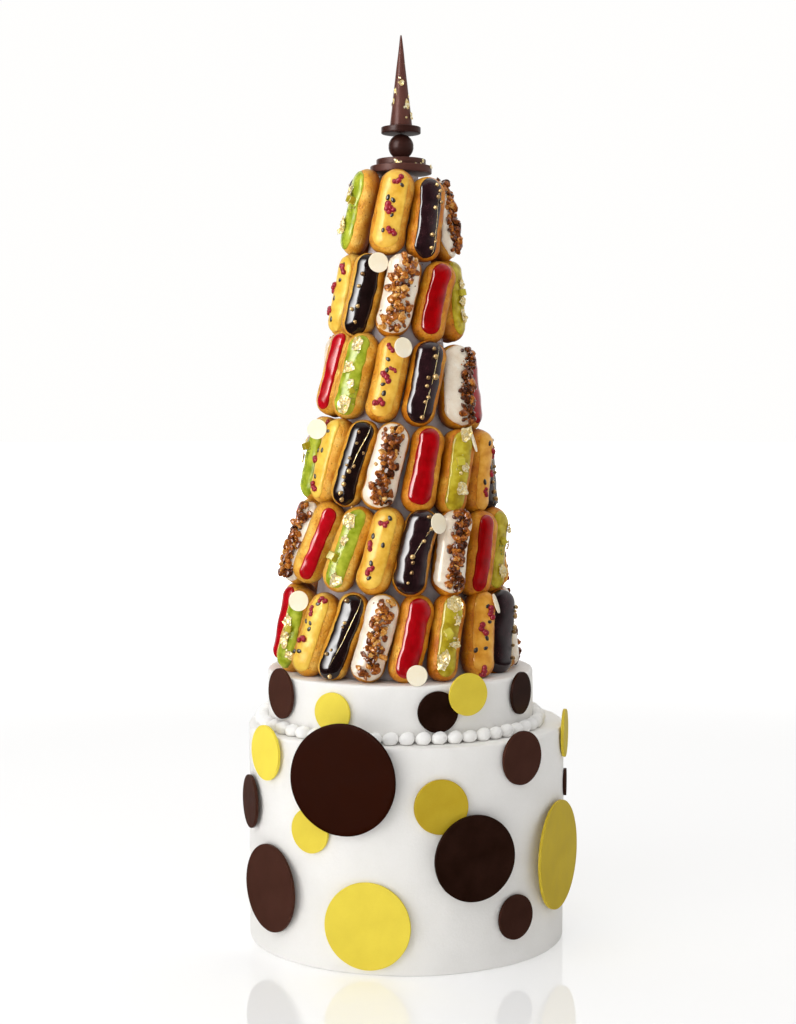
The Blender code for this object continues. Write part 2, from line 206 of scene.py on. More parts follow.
def mesh_object(name, verts, faces, mat, matrix=None, sharp=None, **attributes):
    mesh = bpy.data.meshes.new(name)
    mesh.from_pydata([tuple(v) for v in np.asarray(verts, float)], [], faces)
    mesh.update()
    for key, values in attributes.items():
        layer = mesh.attributes.new(key, "FLOAT", "POINT")
        layer.data.foreach_set("value", np.asarray(values, np.float32))
    mesh.materials.append(mat)
    mesh.shade_smooth()
    if sharp is not None:
        mesh.set_sharp_from_angle(angle=math.radians(sharp))
    ob = bpy.data.objects.new(name, mesh)
    bpy.context.scene.collection.objects.link(ob)
    if matrix is not None:
        ob.matrix_world = matrix
    return ob


def piece(ob, *nodes, slot=None):
    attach(ob, "root")
    if nodes:
        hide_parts(*nodes)
    return ob


class Heap:
    """Many small bits gathered into one mesh."""

    def __init__(self):
        self.verts, self.faces, self.tone, self.count = [], [], [], 0

    def add(self, shape, matrix, tone=0.5):
        v, f = shape
        m = np.array(matrix)
        p = v @ m[:3, :3].T + m[:3, 3]
        self.verts.append(p)
        self.faces += [tuple(self.count + k for k in face) for face in f]
        self.tone.append(np.full(len(p), tone))
        self.count += len(p)

    def build(self, name, mat, nodes=(), slot=None, sharp=None):
        if not self.count:
            return None
        ob = mesh_object(name, np.concatenate(self.verts), self.faces, mat, sharp=sharp, tone=np.concatenate(self.tone))
        return piece(ob, *nodes, slot=slot)


# ------------------------------------------------------------------ materials
class Shade:
    """A node material with short calls for the nodes used here."""

    def __init__(self, name, **inputs):
        self.mat = bpy.data.materials.new(name)
        self.mat.use_nodes = True
        self.tree = self.mat.node_tree
        self.bsdf = self.tree.nodes["Principled BSDF"]
        for key, value in inputs.items():
            self.bsdf.inputs[key.replace("_", " ")].default_value = value
        self.coord = self.tree.nodes.new("ShaderNodeTexCoord").outputs["Object"]
        self.height = None

    def node(self, kind, **settings):
        n = self.tree.nodes.new("ShaderNode" + kind)
        for key, value in settings.items():
            setattr(n, key, value)
        return n

    def link(self, a, b):
        self.tree.links.new(a, b)

    def feed(self, socket, value):
        if isinstance(value, bpy.types.NodeSocket):
            self.link(value, socket)
        else:
            socket.default_value = value

    def attribute(self, name):
        return self.node("Attribute", attribute_name=name).outputs["Fac"]

    def shifted(self, name):
        """Object coordinates moved by a number that each piece carries."""
        add = self.node("VectorMath", operation="ADD")
        scale = self.node("VectorMath", operation="SCALE")
        scale.inputs[0].default_value = (0.37, 0.61, 0.83)
        self.link(self.attribute(name), scale.inputs["Scale"])
        self.link(self.coord, add.inputs[0])
        self.link(scale.outputs[0], add.inputs[1])
        self.coord = add.outputs[0]
        return self.coord

    def stretched(self, x, y, z):
        m = self.node("Mapping")
        m.inputs["Scale"].default_value = (x, y, z)
        self.link(self.coord, m.inputs["Vector"])
        return m.outputs["Vector"]

    def noise(self, scale, detail=2.0, rough=0.5, distortion=0.0, coord=None):
        n = self.node("TexNoise")
        n.inputs["Scale"].default_value = scale
        n.inputs["Detail"].default_value = detail
        n.inputs["Roughness"].default_value = rough
        n.inputs["Distortion"].default_value = distortion
        self.link(coord or self.coord, n.inputs["Vector"])
        return n.outputs["Fac"]

    def voronoi(self, scale, feature="F1", output="Distance", coord=None, randomness=1.0):
        n = self.node("TexVoronoi", feature=feature)
        n.inputs["Scale"].default_value = scale
        n.inputs["Randomness"].default_value = randomness
        self.link(coord or self.coord, n.inputs["Vector"])
        return n.outputs[output]

    def span(self, value, a, b, c=0.0, d=1.0, smooth=False):
        n = self.node("MapRange", interpolation_type="SMOOTHSTEP" if smooth else "LINEAR")
        for key, v in (("From Min", a), ("From Max", b), ("To Min", c), ("To Max", d)):
            n.inputs[key].default_value = v
        self.link(value, n.inputs["Value"])
        return n.outputs["Result"]

    def math(self, operation, a, b=0.0):
        n = self.node("Math", operation=operation)
        self.feed(n.inputs[0], a)
        self.feed(n.inputs[1], b)
        return n.outputs[0]

    def ramp(self, value, *stops):
        n = self.node("ValToRGB")
        el = n.color_ramp.elements
        while len(el) < len(stops):
            el.new(0.5)
        for e, (pos, colour) in zip(el, stops):
            e.position = pos
            e.color = (*colour, 1.0)
        self.link(value, n.inputs["Fac"])
        return n.outputs["Color"]

    def mix(self, factor, a, b, blend="MIX"):
        n = self.node("Mix", data_type="RGBA", blend_type=blend)
        self.feed(n.inputs["Factor"], factor)
        self.feed(n.inputs[6], a if isinstance(a, bpy.types.NodeSocket) else (*a, 1.0))
        self.feed(n.inputs[7], b if isinstance(b, bpy.types.NodeSocket) else (*b, 1.0))
        return n.outputs[2]

    def colour(self, socket):
        self.link(socket, self.bsdf.inputs["Base Color"])

    def roughness(self, socket):
        self.link(socket, self.bsdf.inputs["Roughness"])

    def bump(self, socket, distance, strength=1.0):
        """Adds relief of that depth in metres."""
        n = self.node("Bump")
        n.inputs["Strength"].default_value = strength
        n.inputs["Distance"].default_value = distance
        self.link(socket, n.inputs["Height"])
        if self.height is not None:
            self.link(self.height, n.inputs["Normal"])
        self.height = n.outputs["Normal"]
        self.link(self.height, self.bsdf.inputs["Normal"])


def srgb(r, g, b):
    """Linear colour from the usual 0-255 values."""
    out = []
    for c in (r, g, b):
        c /= 255.0
        out.append(c / 12.92 if c <= 0.04045 else ((c + 0.055) / 1.055) ** 2.4)
    return tuple(out)


def make_choux():
    s = Shade("choux", Roughness=0.42, Specular_IOR_Level=0.34)
    s.shifted("shift")
    side = s.attribute("side")
    big = s.noise(70, 3)
    fine = s.noise(520, 5, 0.6)
    base = s.ramp(s.math("ADD", s.math("MULTIPLY", big, 0.7), s.math("MULTIPLY", fine, 0.3)),
                  (0.32, srgb(178, 90, 2)), (0.50, srgb(210, 126, 10)), (0.68, srgb(236, 174, 54)))
    # paler choux colours, mixed in by how far the eclair faces the key light at the left: painted light
    paler = s.ramp(s.math("ADD", s.math("MULTIPLY", big, 0.7), s.math("MULTIPLY", fine, 0.3)),
                   (0.32, srgb(214, 138, 24)), (0.50, srgb(238, 180, 58)), (0.68, srgb(252, 220, 116)))
    tint = s.attribute("tint")
    base = s.mix(tint, base, paler)
    # darker brown toward the sides and underside of each eclair: partly the baked crust, partly painted shade between
    # neighbouring eclairs; the crust is paler on eclairs facing the key light, painted light
    crust_and_shade = s.mix(tint, srgb(104, 36, 0), srgb(134, 58, 2))
    baked_and_shaded = s.mix(s.math("MULTIPLY", s.span(side, 0.36, 0.86, 0.0, 1.0, True), 0.90), base, crust_and_shade)
    speck = s.voronoi(250)
    mask = s.span(s.noise(160, 1), 0.46, 0.56, 0.0, 1.0)
    pores = s.math("MULTIPLY", s.span(speck, 0.10, 0.26, 1.0, 0.0, True), mask)
    scorch = s.math("MULTIPLY", s.span(s.noise(330, 3, 0.6), 0.56, 0.66, 0.0, 1.0, True), 0.30)
    toned = s.mix(scorch, baked_and_shaded, srgb(150, 74, 12))
    s.colour(s.mix(s.math("MULTIPLY", pores, 0.42), toned, srgb(96, 38, 2)))
    s.roughness(s.span(fine, 0.3, 0.7, 0.34, 0.54))
    s.bump(s.noise(240, 4, 0.6), 0.00075)
    wrinkle = s.noise(300, 3, 0.6, 0.6, s.stretched(1.0, 0.35, 1.0))
    crack = s.math("MULTIPLY", s.span(wrinkle, 0.30, 0.44, 1.0, 0.0, True), 0.8)
    s.bump(crack, -0.00065)
    s.bump(s.math("MULTIPLY", pores, -1.0), 0.00035)
    return s.mat


def make_glaze(name, light, mid, dark, rough, coat=1.0, wave=0.00010, coat_ior=1.6, key_lit_tones=None):
    s = Shade(name, Roughness=rough, Coat_Weight=coat, Coat_Roughness=0.035, Coat_IOR=coat_ior, Specular_IOR_Level=0.12)
    s.shifted("shift")
    big = s.noise(110, 3)
    edge = s.attribute("side")
    tone = s.ramp(big, (0.32, dark), (0.5, mid), (0.68, light))
    # the glaze colour moves toward the second pair of tones by how far the eclair faces the key light at the left:
    # painted light and shade
    if key_lit_tones:
        tone = s.mix(s.attribute("tint"), tone, s.ramp(big, (0.32, key_lit_tones[0]), (0.68, key_lit_tones[1])))
        s.colour(tone)
    else:
        s.colour(s.mix(s.math("MULTIPLY", s.span(edge, 0.78, 1.0, 0.0, 1.0, True), 0.5), tone, dark))
    s.bump(s.noise(75, 2, coord=s.stretched(1.0, 0.6, 1.0)), wave)
    s.bump(s.noise(260, 2), wave * 0.22)
    return s.mat


def make_praline():
    s = Shade("praline_icing", Roughness=0.32, Coat_Weight=0.35, Coat_Roughness=0.15)
    s.shifted("shift")
    big = s.noise(120, 3)
    tone = s.ramp(big, (0.3, srgb(234, 216, 190)), (0.6, srgb(246, 234, 214)), (0.8, srgb(252, 246, 232)))
    speck = s.math("MULTIPLY", s.span(s.voronoi(900), 0.12, 0.22, 1.0, 0.0), s.span(s.noise(300, 1), 0.5, 0.62))
    s.colour(s.mix(s.math("MULTIPLY", speck, 0.7), tone, srgb(128, 84, 56)))
    s.bump(s.noise(160, 3), 0.00022)
    return s.mat


def make_nut():
    s = Shade("caramelised_nut", Roughness=0.38, Coat_Weight=0.75, Coat_Roughness=0.06, Specular_IOR_Level=0.2)
    tone = s.attribute("tone")
    streak = s.noise(480, 4, 0.62)
    mixed = s.math("ADD", s.math("MULTIPLY", tone, 0.62), s.math("MULTIPLY", s.span(streak, 0.34, 0.66, 0.0, 1.0), 0.36))
    s.colour(s.ramp(mixed, (0.14, srgb(52, 20, 4)), (0.36, srgb(116, 54, 12)), (0.58, srgb(184, 104, 28)),
                    (0.78, srgb(222, 160, 72)), (0.94, srgb(244, 212, 146))))
    s.roughness(s.span(streak, 0.3, 0.7, 0.2, 0.45))
    s.bump(s.noise(600, 4, 0.6), 0.0005)
    return s.mat


def make_simple(name, colour_a, colour_b, scale, rough, depth, bump_scale, coat=0.0, coat_rough=0.1, metallic=0.0, tone=False):
    s = Shade(name, Roughness=rough, Coat_Weight=coat, Coat_Roughness=coat_rough, Metallic=metallic)
    fac = s.noise(scale, 4, 0.55)
    if tone:
        fac = s.math("ADD", s.math("MULTIPLY", s.attribute("tone"), 0.6), s.math("MULTIPLY", fac, 0.4))
    s.colour(s.ramp(fac, (0.3, colour_a), (0.7, colour_b)))
    s.bump(s.noise(bump_scale, 4, 0.6), depth)
    return s.mat


def make_icing(name="royal_icing", low=(242, 240, 236), high=(249, 247, 244)):
    s = Shade(name, Roughness=0.55, Specular_IOR_Level=0.2)
    big = s.noise(22, 3)
    fine = s.noise(420, 4, 0.6)
    s.colour(s.ramp(s.math("ADD", s.math("MULTIPLY", big, 0.7), s.math("MULTIPLY", fine, 0.3)),
                    (0.3, srgb(*low)), (0.7, srgb(*high))))
    s.roughness(s.span(fine, 0.3, 0.7, 0.48, 0.66))
    s.bump(s.noise(60, 3), 0.0006, 0.6)
    s.bump(fine, 0.00018)
    return s.mat


def make_chocolate(name, low, high, rough, coat, specular=0.5, tone=False):
    """Tempered chocolate, cloudy between two tones; a piece may carry its own tone."""
    s = Shade(name, Roughness=rough, Coat_Weight=coat, Coat_Roughness=0.3, Specular_IOR_Level=specular)
    cloud = s.noise(38, 4, 0.55)
    bloom = s.noise(700, 3, 0.6)
    fac = s.math("ADD", s.math("MULTIPLY", cloud, 0.75), s.math("MULTIPLY", bloom, 0.25))
    if tone:
        drift = s.math("MULTIPLY", s.math("SUBTRACT", fac, 0.5), 0.45)
        s.colour(s.ramp(s.math("ADD", s.attribute("tone"), drift), (0.0, low), (1.0, high)))
    else:
        s.colour(s.ramp(fac, (0.35, low), (0.65, high)))
    s.roughness(s.span(cloud, 0.3, 0.7, rough - 0.05, rough + 0.08))
    s.bump(s.noise(55, 3), 0.0002, 0.6)
    s.bump(s.noise(900, 3), 0.00004)
    return s.mat


def make_gold():
    s = Shade("gold_leaf", Metallic=0.25, Roughness=0.28, Specular_IOR_Level=0.4)
    # the near-white sheet tones and the darker crease lines stand in for the leaf's reflections and the shade in its
    # crumples: painted highlight and painted shade
    crease = s.noise(420, 4, 0.6)
    sheet_lit_and_shaded = s.ramp(crease, (0.30, srgb(212, 172, 84)), (0.46, srgb(246, 220, 146)), (0.64, srgb(255, 248, 218)))
    crease_shade = s.span(s.math("ABSOLUTE", s.math("SUBTRACT", s.noise(240, 3, 0.6), 0.5)), 0.0, 0.035, 1.0, 0.0, True)
    s.colour(s.mix(s.math("MULTIPLY", crease_shade, 0.62), sheet_lit_and_shaded, srgb(142, 106, 44)))
    s.bump(s.noise(420, 3), 0.0006)
    return s.mat


CHOUX = make_choux()
# the last pair of tones of each glaze is its colour on eclairs facing the key light at the left: painted light and
# shade
GLAZES = {
    "R": make_glaze("red_glaze", srgb(164, 0, 4), srgb(150, 0, 3), srgb(132, 0, 2), 0.2, 1.0, 0.00040, 1.45,
                    (srgb(174, 1, 12), srgb(200, 4, 27))),
    "G": make_glaze("green_glaze", srgb(210, 190, 62), srgb(190, 164, 34), srgb(160, 130, 20), 0.24, 0.55, 0.00075, 1.5,
                    (srgb(132, 152, 14), srgb(196, 204, 66))),
    "Y": make_glaze("passion_glaze", srgb(236, 172, 72), srgb(224, 154, 52), srgb(206, 130, 34), 0.34, 0.40, 0.00018, 1.5,
                    (srgb(234, 182, 56), srgb(250, 214, 92))),
    "K": make_glaze("chocolate_glaze", srgb(52, 28, 32), srgb(42, 22, 26), srgb(32, 16, 18), 0.2, 1.0, 0.00026, 1.5,
                    (srgb(20, 10, 9), srgb(32, 17, 16))),
    "N": make_praline(),
}
GLAZES["Y"].node_tree.nodes["Principled BSDF"].inputs["Coat Roughness"].default_value = 0.16
NUT = make_nut()
SEED = make_simple("fruit_seed", srgb(32, 24, 18), srgb(64, 54, 44), 500, 0.3, 0.0001, 1500, 0.5, 0.15)
BERRY = make_simple("raspberry_bit", srgb(116, 0, 20), srgb(178, 12, 44), 500, 0.42, 0.0002, 1800, 0.15, 0.3)
GOLD = make_gold()
PEARL = make_simple("crisp_pearl", srgb(108, 70, 36), srgb(222, 184, 122), 500, 0.3, 0.0001, 1400, 0.3, 0.15, 0.55, tone=True)
CANDY = make_simple("candied_cube", srgb(156, 136, 18), srgb(206, 192, 58), 300, 0.2, 0.0001, 600, 0.4, 0.08, tone=True)
PISTACHIO = make_simple("pistachio_bit", srgb(126, 144, 40), srgb(214, 196, 96), 600, 0.45, 0.0003, 1500, 0.0, 0.1, tone=True)
ICING = make_icing()
# a whiter copy of the same icing for the beads, painted light against the shade they sit in
PIPING_PAINTED_LIGHTER = make_icing("piped_icing_painted_lighter", (251, 250, 247), (254, 253, 251))
CONE = make_simple("cone_coating", srgb(206, 192, 192), srgb(226, 214, 212), 60, 0.6, 0.0003, 300)
CHOC = make_chocolate("finial_chocolate", srgb(38, 18, 14), srgb(98, 60, 52), 0.34, 0.06, 0.12, tone=True)
DARK = make_chocolate("plaque_chocolate", srgb(20, 6, 1), srgb(88, 54, 44), 0.32, 0.0, 0.035, tone=True)
WARM = make_chocolate("plaque_warm_chocolate", srgb(30, 6, 0), srgb(44, 11, 0), 0.32, 0.0, 0.02, tone=True)
YELLOW = make_chocolate("plaque_yellow_chocolate", srgb(186, 156, 34), srgb(250, 228, 82), 0.42, 0.0, 0.1, tone=True)
IVORY = make_chocolate("ivory_chocolate", srgb(252, 238, 206), srgb(254, 245, 222), 0.45, 0.0, 0.15)


# ------------------------------------------------------------------ eclairs
def azimuths(number, row):
    front = list(row["front"])
    back = row["n"] - len(front)
    span = front[0] + 360 - front[-1]
    return [f[0] for f in FRONT[number]] + [front[-1] + span * (i + 1) / (back + 1) for i in range(back)]


def cone_radius(z):
    return CONE_R_REF - CONE_SLOPE * (z - CONE_Z_REF)


def eclair_frame(row, az, lean, roll, pitch=0.0, lift=0.0):
    """Matrix whose X runs across, Y along to the top, and Z out of the glaze."""
    a, le = math.radians(az), math.radians(lean)
    out = Vector((math.sin(a) * math.cos(TILT), -math.cos(a) * math.cos(TILT), math.sin(TILT)))
    up = Vector((-math.sin(a) * math.sin(TILT), math.cos(a) * math.sin(TILT), math.cos(TILT)))
    side = Vector((math.cos(a), math.sin(a), 0.0))
    along = up * math.cos(le) + side * math.sin(le)
    across = side * math.cos(le) - up * math.sin(le)
    height = row["z"] - row["dip"] * math.sin(a)
    radius = row["r"] - CONE_SLOPE * (height - row["z"])
    m = Matrix((across, along, out)).transposed().to_4x4()
    m.translation = outward(az) * radius + Vector((row["x"], 0, height + lift))
    return m @ Matrix.Rotation(math.radians(-pitch), 4, "X") @ Matrix.Rotation(math.radians(roll), 4, "Y")


N_SIDE, N_CAP = 22, 14


def outline():
    """Columns round a stadium: place along its middle, -1..1, and direction."""
    cols = [(-1 + 2 * i / N_SIDE, 1.0, 0.0) for i in range(N_SIDE)]
    cols += [(1.0, math.cos(math.pi * i / N_CAP), math.sin(math.pi * i / N_CAP)) for i in range(N_CAP)]
    cols += [(1 - 2 * i / N_SIDE, -1.0, 0.0) for i in range(N_SIDE)]
    cols += [(-1.0, -math.cos(math.pi * i / N_CAP), -math.sin(math.pi * i / N_CAP)) for i in range(N_CAP)]
    return np.array(cols)


COLS = outline()
MIDDLE = [i for i in range(N_SIDE)] + [N_SIDE] * N_CAP + [N_SIDE - i for i in range(N_SIDE)] + [0] * N_CAP
N_COLS = len(COLS)
N_MID = N_SIDE + 1


def layered_faces(rings, closed):
    """Faces from the middle line out through the rings, and to a second middle line."""
    faces = []
    ring = lambda k, j: N_MID + k * N_COLS + j % N_COLS
    for j in range(N_COLS):
        a, b = MIDDLE[j], MIDDLE[(j + 1) % N_COLS]
        faces.append((a, ring(0, j), ring(0, j + 1)) if a == b else (a, ring(0, j), ring(0, j + 1), b))
    for k in range(rings - 1):
        for j in range(N_COLS):
            faces.append((ring(k, j), ring(k + 1, j), ring(k + 1, j + 1), ring(k, j + 1)))
    if closed:
        base = N_MID + rings * N_COLS
        for j in range(N_COLS):
            a, b = base + MIDDLE[j], base + MIDDLE[(j + 1) % N_COLS]
            if a == b:
                faces.append((ring(rings - 1, j), a, ring(rings - 1, j + 1)))
            else:
                faces.append((ring(rings - 1, j), a, b, ring(rings - 1, j + 1)))
    return faces


class Eclair:
    """The smooth form of one eclair, shared by its choux, glaze and toppings."""

    def __init__(self, number, index, row, az, flavour):
        self.rng = random.Random(1000 * number + 31 * index + 7)
        r = self.rng
        self.number, self.index, self.flavour, self.az = number, index, flavour, az
        front = FRONT[number][index] if index < len(FRONT[number]) else None
        ends = {"R": (47, 37), "G": (50, 44), "Y": (52, 40), "K": (62, 58), "N": (58, 54)}[flavour]
        width = HALF_WIDTH[number] * r.uniform(0.985, 1.015)
        length = 0.97 if number == 2 else 1.0
        if front:
            self.lean, self.roll, pitch, sides, lift = front[1:6]
            if len(front) > 6 and front[6]:
                ends = front[6]
            width = 0.001 * front[7] if len(front) > 7 else HALF_WIDTH[number]
            if (number, index) == (6, 3):
                length = 1.03
        else:
            self.lean, self.roll, pitch, lift = LEAN + r.uniform(-2.5, 2.5), r.uniform(-14, 14), r.uniform(-3, 3), r.uniform(-1, 1)
            sides = {"R": 36, "G": 36, "Y": 40, "K": 52, "N": 65}[flavour] + r.uniform(-3, 3)
            ends = [a + r.uniform(-3, 3) for a in ends]
            length *= r.uniform(0.985, 1.005)
        self.side_angle = math.radians(sides)
        self.top_angle, self.low_angle = (math.radians(a) for a in ends)
        self.matrix = eclair_frame(row, az, self.lean, self.roll, pitch, 0.001 * lift)
        self.hw = width
        self.he = self.hw * 0.97
        self.half = ECL_L / 2 * length
        self.h = self.half - self.he
        self.thick = {"R": 0.0021, "G": 0.0018, "Y": 0.0013, "K": 0.0015, "N": 0.0015}[flavour]
        self.out = ECL_OUT - self.thick
        self.back = (row["r"] - cone_radius(row["z"]) - abs(row["x"] - TOWER_X)) * math.cos(TILT) - 1.5 * GAP
        self.taper = r.uniform(-0.035, 0.035)
        self.waist = r.uniform(0.0, 0.05)
        self.bend = r.uniform(-0.0011, 0.0011)
        self.shift = r.uniform(0.0, 1.0)
        self.seed = r.randrange(10000)
        # how far this eclair faces the key light at the left, from its azimuth; the choux, glaze and nut colours follow
        # it as painted light and shade
        self.tint = min(1.0, max(0.1, 0.5 - math.sin(math.radians(az)) * 0.9 + random.Random(self.seed + 77).uniform(-0.07, 0.07)))
        self.grid = None

    def place(self, t, d, fine=False, lift=0.0):
        """Points on the skin for places t along the middle and directions d."""
        d = np.asarray(d, float)
        t = np.asarray(t, float)
        rho = np.hypot(d[:, 0], d[:, 1])
        p = 2.15
        k = (rho ** p + np.abs(d[:, 2]) ** p) ** (-1.0 / p)
        deep = np.where(d[:, 2] >= 0, self.out, self.back)
        y0 = t * self.h
        wide = self.hw * (1 + self.taper * (y0 + d[:, 1] * self.he) / self.half
                          - self.waist * np.cos(np.clip((y0 + d[:, 1] * self.he) / self.half, -1, 1) * math.pi) * 0.5)
        pts = np.stack([d[:, 0] * k * wide, y0 + d[:, 1] * k * self.he, d[:, 2] * k * deep], 1)
        n = np.stack([np.sign(d[:, 0]) * np.abs(d[:, 0]) * rho ** (p - 2) / wide,
                      d[:, 1] * rho ** (p - 2) / self.he,
                      np.sign(d[:, 2]) * np.abs(d[:, 2]) ** (p - 1) / deep], 1)
        n /= np.linalg.norm(n, axis=1)[:, None] + 1e-12
        q = pts + self.shift * 3.1 + 5.0
        relief = 0.00058 * lumps(q, 0.015, self.seed) + 0.00026 * lumps(q, 0.0065, self.seed + 3)
        if fine:
            relief = relief + 0.00020 * lumps(q * np.array([1, 0.5, 1]), 0.0028, self.seed + 5)
        lift = np.asarray(lift) + 0.0
        pts = pts + n * (relief + lift)[:, None]
        pts[:, 0] += self.bend * (1 - (pts[:, 1] / self.half) ** 2 * 2)
        return pts, n

    def choux(self):
        angles = [14, 26, 36, 45, 54, 62, 70, 78, 86, 94, 103, 113, 125, 140, 158]
        t = [np.linspace(-1, 1, N_MID)]
        d = [np.tile([0, 0, 1.0], (N_MID, 1))]
        side = [np.zeros(N_MID)]
        for a in angles:
            a = math.radians(a)
            t.append(COLS[:, 0])
            d.append(np.stack([math.sin(a) * COLS[:, 1], math.sin(a) * COLS[:, 2], np.full(N_COLS, math.cos(a))], 1))
            side.append(np.full(N_COLS, a / math.radians(125)))
        t.append(np.linspace(-1, 1, N_MID))
        d.append(np.tile([0, 0, -1.0], (N_MID, 1)))
        side.append(np.ones(N_MID))
        pts, _ = self.place(np.concatenate(t), np.concatenate(d), fine=True)
        side = np.clip(np.concatenate(side), 0, 1)
        faces = layered_faces(len(angles), True)
        name = "eclair_%d_%02d_choux" % (self.number, self.index + 1)
        ob = mesh_object(name, pts, faces, CHOUX, self.matrix, side=side, shift=np.full(len(pts), self.shift),
                         tint=np.full(len(pts), 0.72 * self.tint ** 1.5))
        return piece(ob, "eclair_row_%d" % self.number, slot="eclair")

    def limit(self, cols):
        """How far from the middle the glaze reaches in each direction, as an angle."""
        end = np.where(cols[:, 2] > 0, self.top_angle, self.low_angle)
        a = self.side_angle * cols[:, 1] ** 2 + end * cols[:, 2] ** 2
        q = np.stack([cols[:, 0] * self.h + cols[:, 1] * 0.012, cols[:, 2] * 0.012, np.full(len(cols), self.shift)], 1)
        wobble = {"R": 0.09, "G": 0.10, "Y": 0.05, "K": 0.08, "N": 0.08}[self.flavour]
        return a * (1 + wobble * (lumps(q + 4, 0.010, self.seed + 9) + 0.5 * lumps(q + 4, 0.0045, self.seed + 11)))

    def glaze(self):
        steps = np.array([0.16, 0.31, 0.45, 0.57, 0.67, 0.755, 0.825, 0.88, 0.925, 0.96, 0.983, 0.996, 1.0, 0.985])
        dome = {"R": 3.6, "G": 4.0, "Y": 7.0, "K": 5.0, "N": 6.0}[self.flavour]      # how soon it rounds off to its edge
        ring_lift = [-0.0009 if k == len(steps) - 1 else math.sqrt(max(0.0, 1 - s ** dome)) for k, s in enumerate(steps)]
        limit = self.limit(COLS)
        t, d, lift, side = [np.linspace(-1, 1, N_MID)], [np.tile([0, 0, 1.0], (N_MID, 1))], [np.ones(N_MID)], [np.zeros(N_MID)]
        for s, up in zip(steps, ring_lift):
            a = limit * s
            t.append(COLS[:, 0])
            d.append(np.stack([np.sin(a) * COLS[:, 1], np.sin(a) * COLS[:, 2], np.cos(a)], 1))
            lift.append(np.full(N_COLS, up))
            side.append(np.full(N_COLS, s))
        t, d, lift = np.concatenate(t), np.concatenate(d), np.concatenate(lift)
        q = np.stack([d[:, 0] * 0.017, t * self.h + d[:, 1] * 0.016, d[:, 2] * 0.0], 1) + 2.0 + self.shift
        wave = {"R": 0.16, "G": 0.26, "Y": 0.12, "K": 0.24, "N": 0.22}[self.flavour]
        thick = self.thick * (1 + wave * (lumps(q, 0.010, self.seed + 21) + 0.45 * lumps(q, 0.0045, self.seed + 23)))
        pts, _ = self.place(t, d, lift=np.where(lift > 0, lift * thick, lift))
        faces = layered_faces(len(steps), False)
        kind = {"R": "red", "G": "green", "Y": "passion", "K": "chocolate", "N": "praline"}[self.flavour]
        name = "eclair_%d_%02d_glaze_%s" % (self.number, self.index + 1, kind)
        ob = mesh_object(name, pts, faces, GLAZES[self.flavour], self.matrix, side=np.concatenate(side),
                         shift=np.full(len(pts), self.shift), tint=np.full(len(pts), self.tint))
        return piece(ob, "eclair_row_%d" % self.number)

    def surface(self, u, v, lift=0.0):
        """Points and normals of the glaze at u across and v along, each -1..1."""
        u, v = np.atleast_1d(np.asarray(u, float)), np.atleast_1d(np.asarray(v, float))
        y = v * (self.half - 0.002)
        t = np.clip(y / self.h, -1, 1)
        e = np.sign(y) * np.arcsin(np.clip((np.abs(y) - self.h) / self.he, 0, 0.98))
        a = u * self.side_angle
        d = np.stack([np.sin(a) * np.cos(e), np.sin(e), np.cos(a) * np.cos(e)], 1)
        return self.place(t, d, lift=np.full(len(d), lift))

    def spot(self, u, v, sink=0.0, turn=0.0):
        """Frame on the glaze at u across and v along, both -1..1 of the glaze."""
        p, n = self.surface(u, v, self.thick - sink)
        n = Vector(n[0])
        along = Vector((0, 1, 0))
        along = (along - n * along.dot(n)).normalized()
        across = along.cross(n)
        m = Matrix((across, along, n)).transposed().to_4x4()
        m.translation = Vector(p[0])
        return self.matrix @ m @ Matrix.Rotation(math.radians(turn), 4, "Z")

    def find(self, x, y):
        """The (u, v) of this glaze that shows at that place of the photograph's frame."""
        m = np.array(self.matrix)

        def gap(u, v):
            p, n = self.surface(u, v, self.thick)
            w, n = p @ m[:3, :3].T + m[:3, 3], n @ m[:3, :3].T
            facing = ((np.array(CAMERA) - w) * n).sum(1) > 0
            d = np.hypot(*(in_frame(w) - (x, y)).T)
            return d + 50 * ~facing

        reach = min(1.6, math.radians(82) / self.side_angle)
        if self.grid is None:
            u, v = np.meshgrid(np.linspace(-reach, reach, 45), np.linspace(-1.05, 1.05, 61), indexing="ij")
            self.grid = u.ravel(), v.ravel()
        u, v = self.grid
        k = int(np.argmin(gap(u, v)))
        du, dv = 2 * reach / 44, 2.1 / 60
        fu, fv = np.meshgrid(np.linspace(-du, du, 11), np.linspace(-dv, dv, 11), indexing="ij")
        fu, fv = u[k] + fu.ravel(), v[k] + fv.ravel()
        k = int(np.argmin(gap(fu, fv)))
        return float(fu[k]), float(fv[k])


def at(e, x, y):
    """Across and along the glaze, from those or from a place in the photograph's frame."""
    if abs(x) < 5:
        return x, y
    u, v = e.find(x, y)
    return max(-1.15, min(1.15, u)), max(-0.95, min(0.95, v))


def ball(level):
    bm = bmesh.new()
    bmesh.ops.create_icosphere(bm, subdivisions=level, radius=1.0)
    v = np.array([x.co[:] for x in bm.verts])
    f = [tuple(x.index for x in face.verts) for face in bm.faces]
    bm.free()
    return v, f


BALLS = {k: ball(k) for k in (1, 2, 3)}


def chunk(rng, level, cuts, stretch=(1.0, 0.8, 0.7), knobs=0.16, near=0.35):
    """A chopped bit: a rounded ball with flat broken faces."""
    v, f = BALLS[level]
    v = v.copy()
    v *= (1 + knobs * lumps(v + 10 * rng.random(), 0.7, rng.randrange(999)))[:, None]
    for _ in range(cuts):
        n = Vector((rng.gauss(0, 1), rng.gauss(0, 1), rng.gauss(0, 1))).normalized()
        n = np.array(n)
        depth = rng.uniform(near, near + 0.4)
        over = np.clip(v @ n - depth, 0, None)
        v -= np.outer(over * 0.92, n)
    return v * np.array(stretch), f


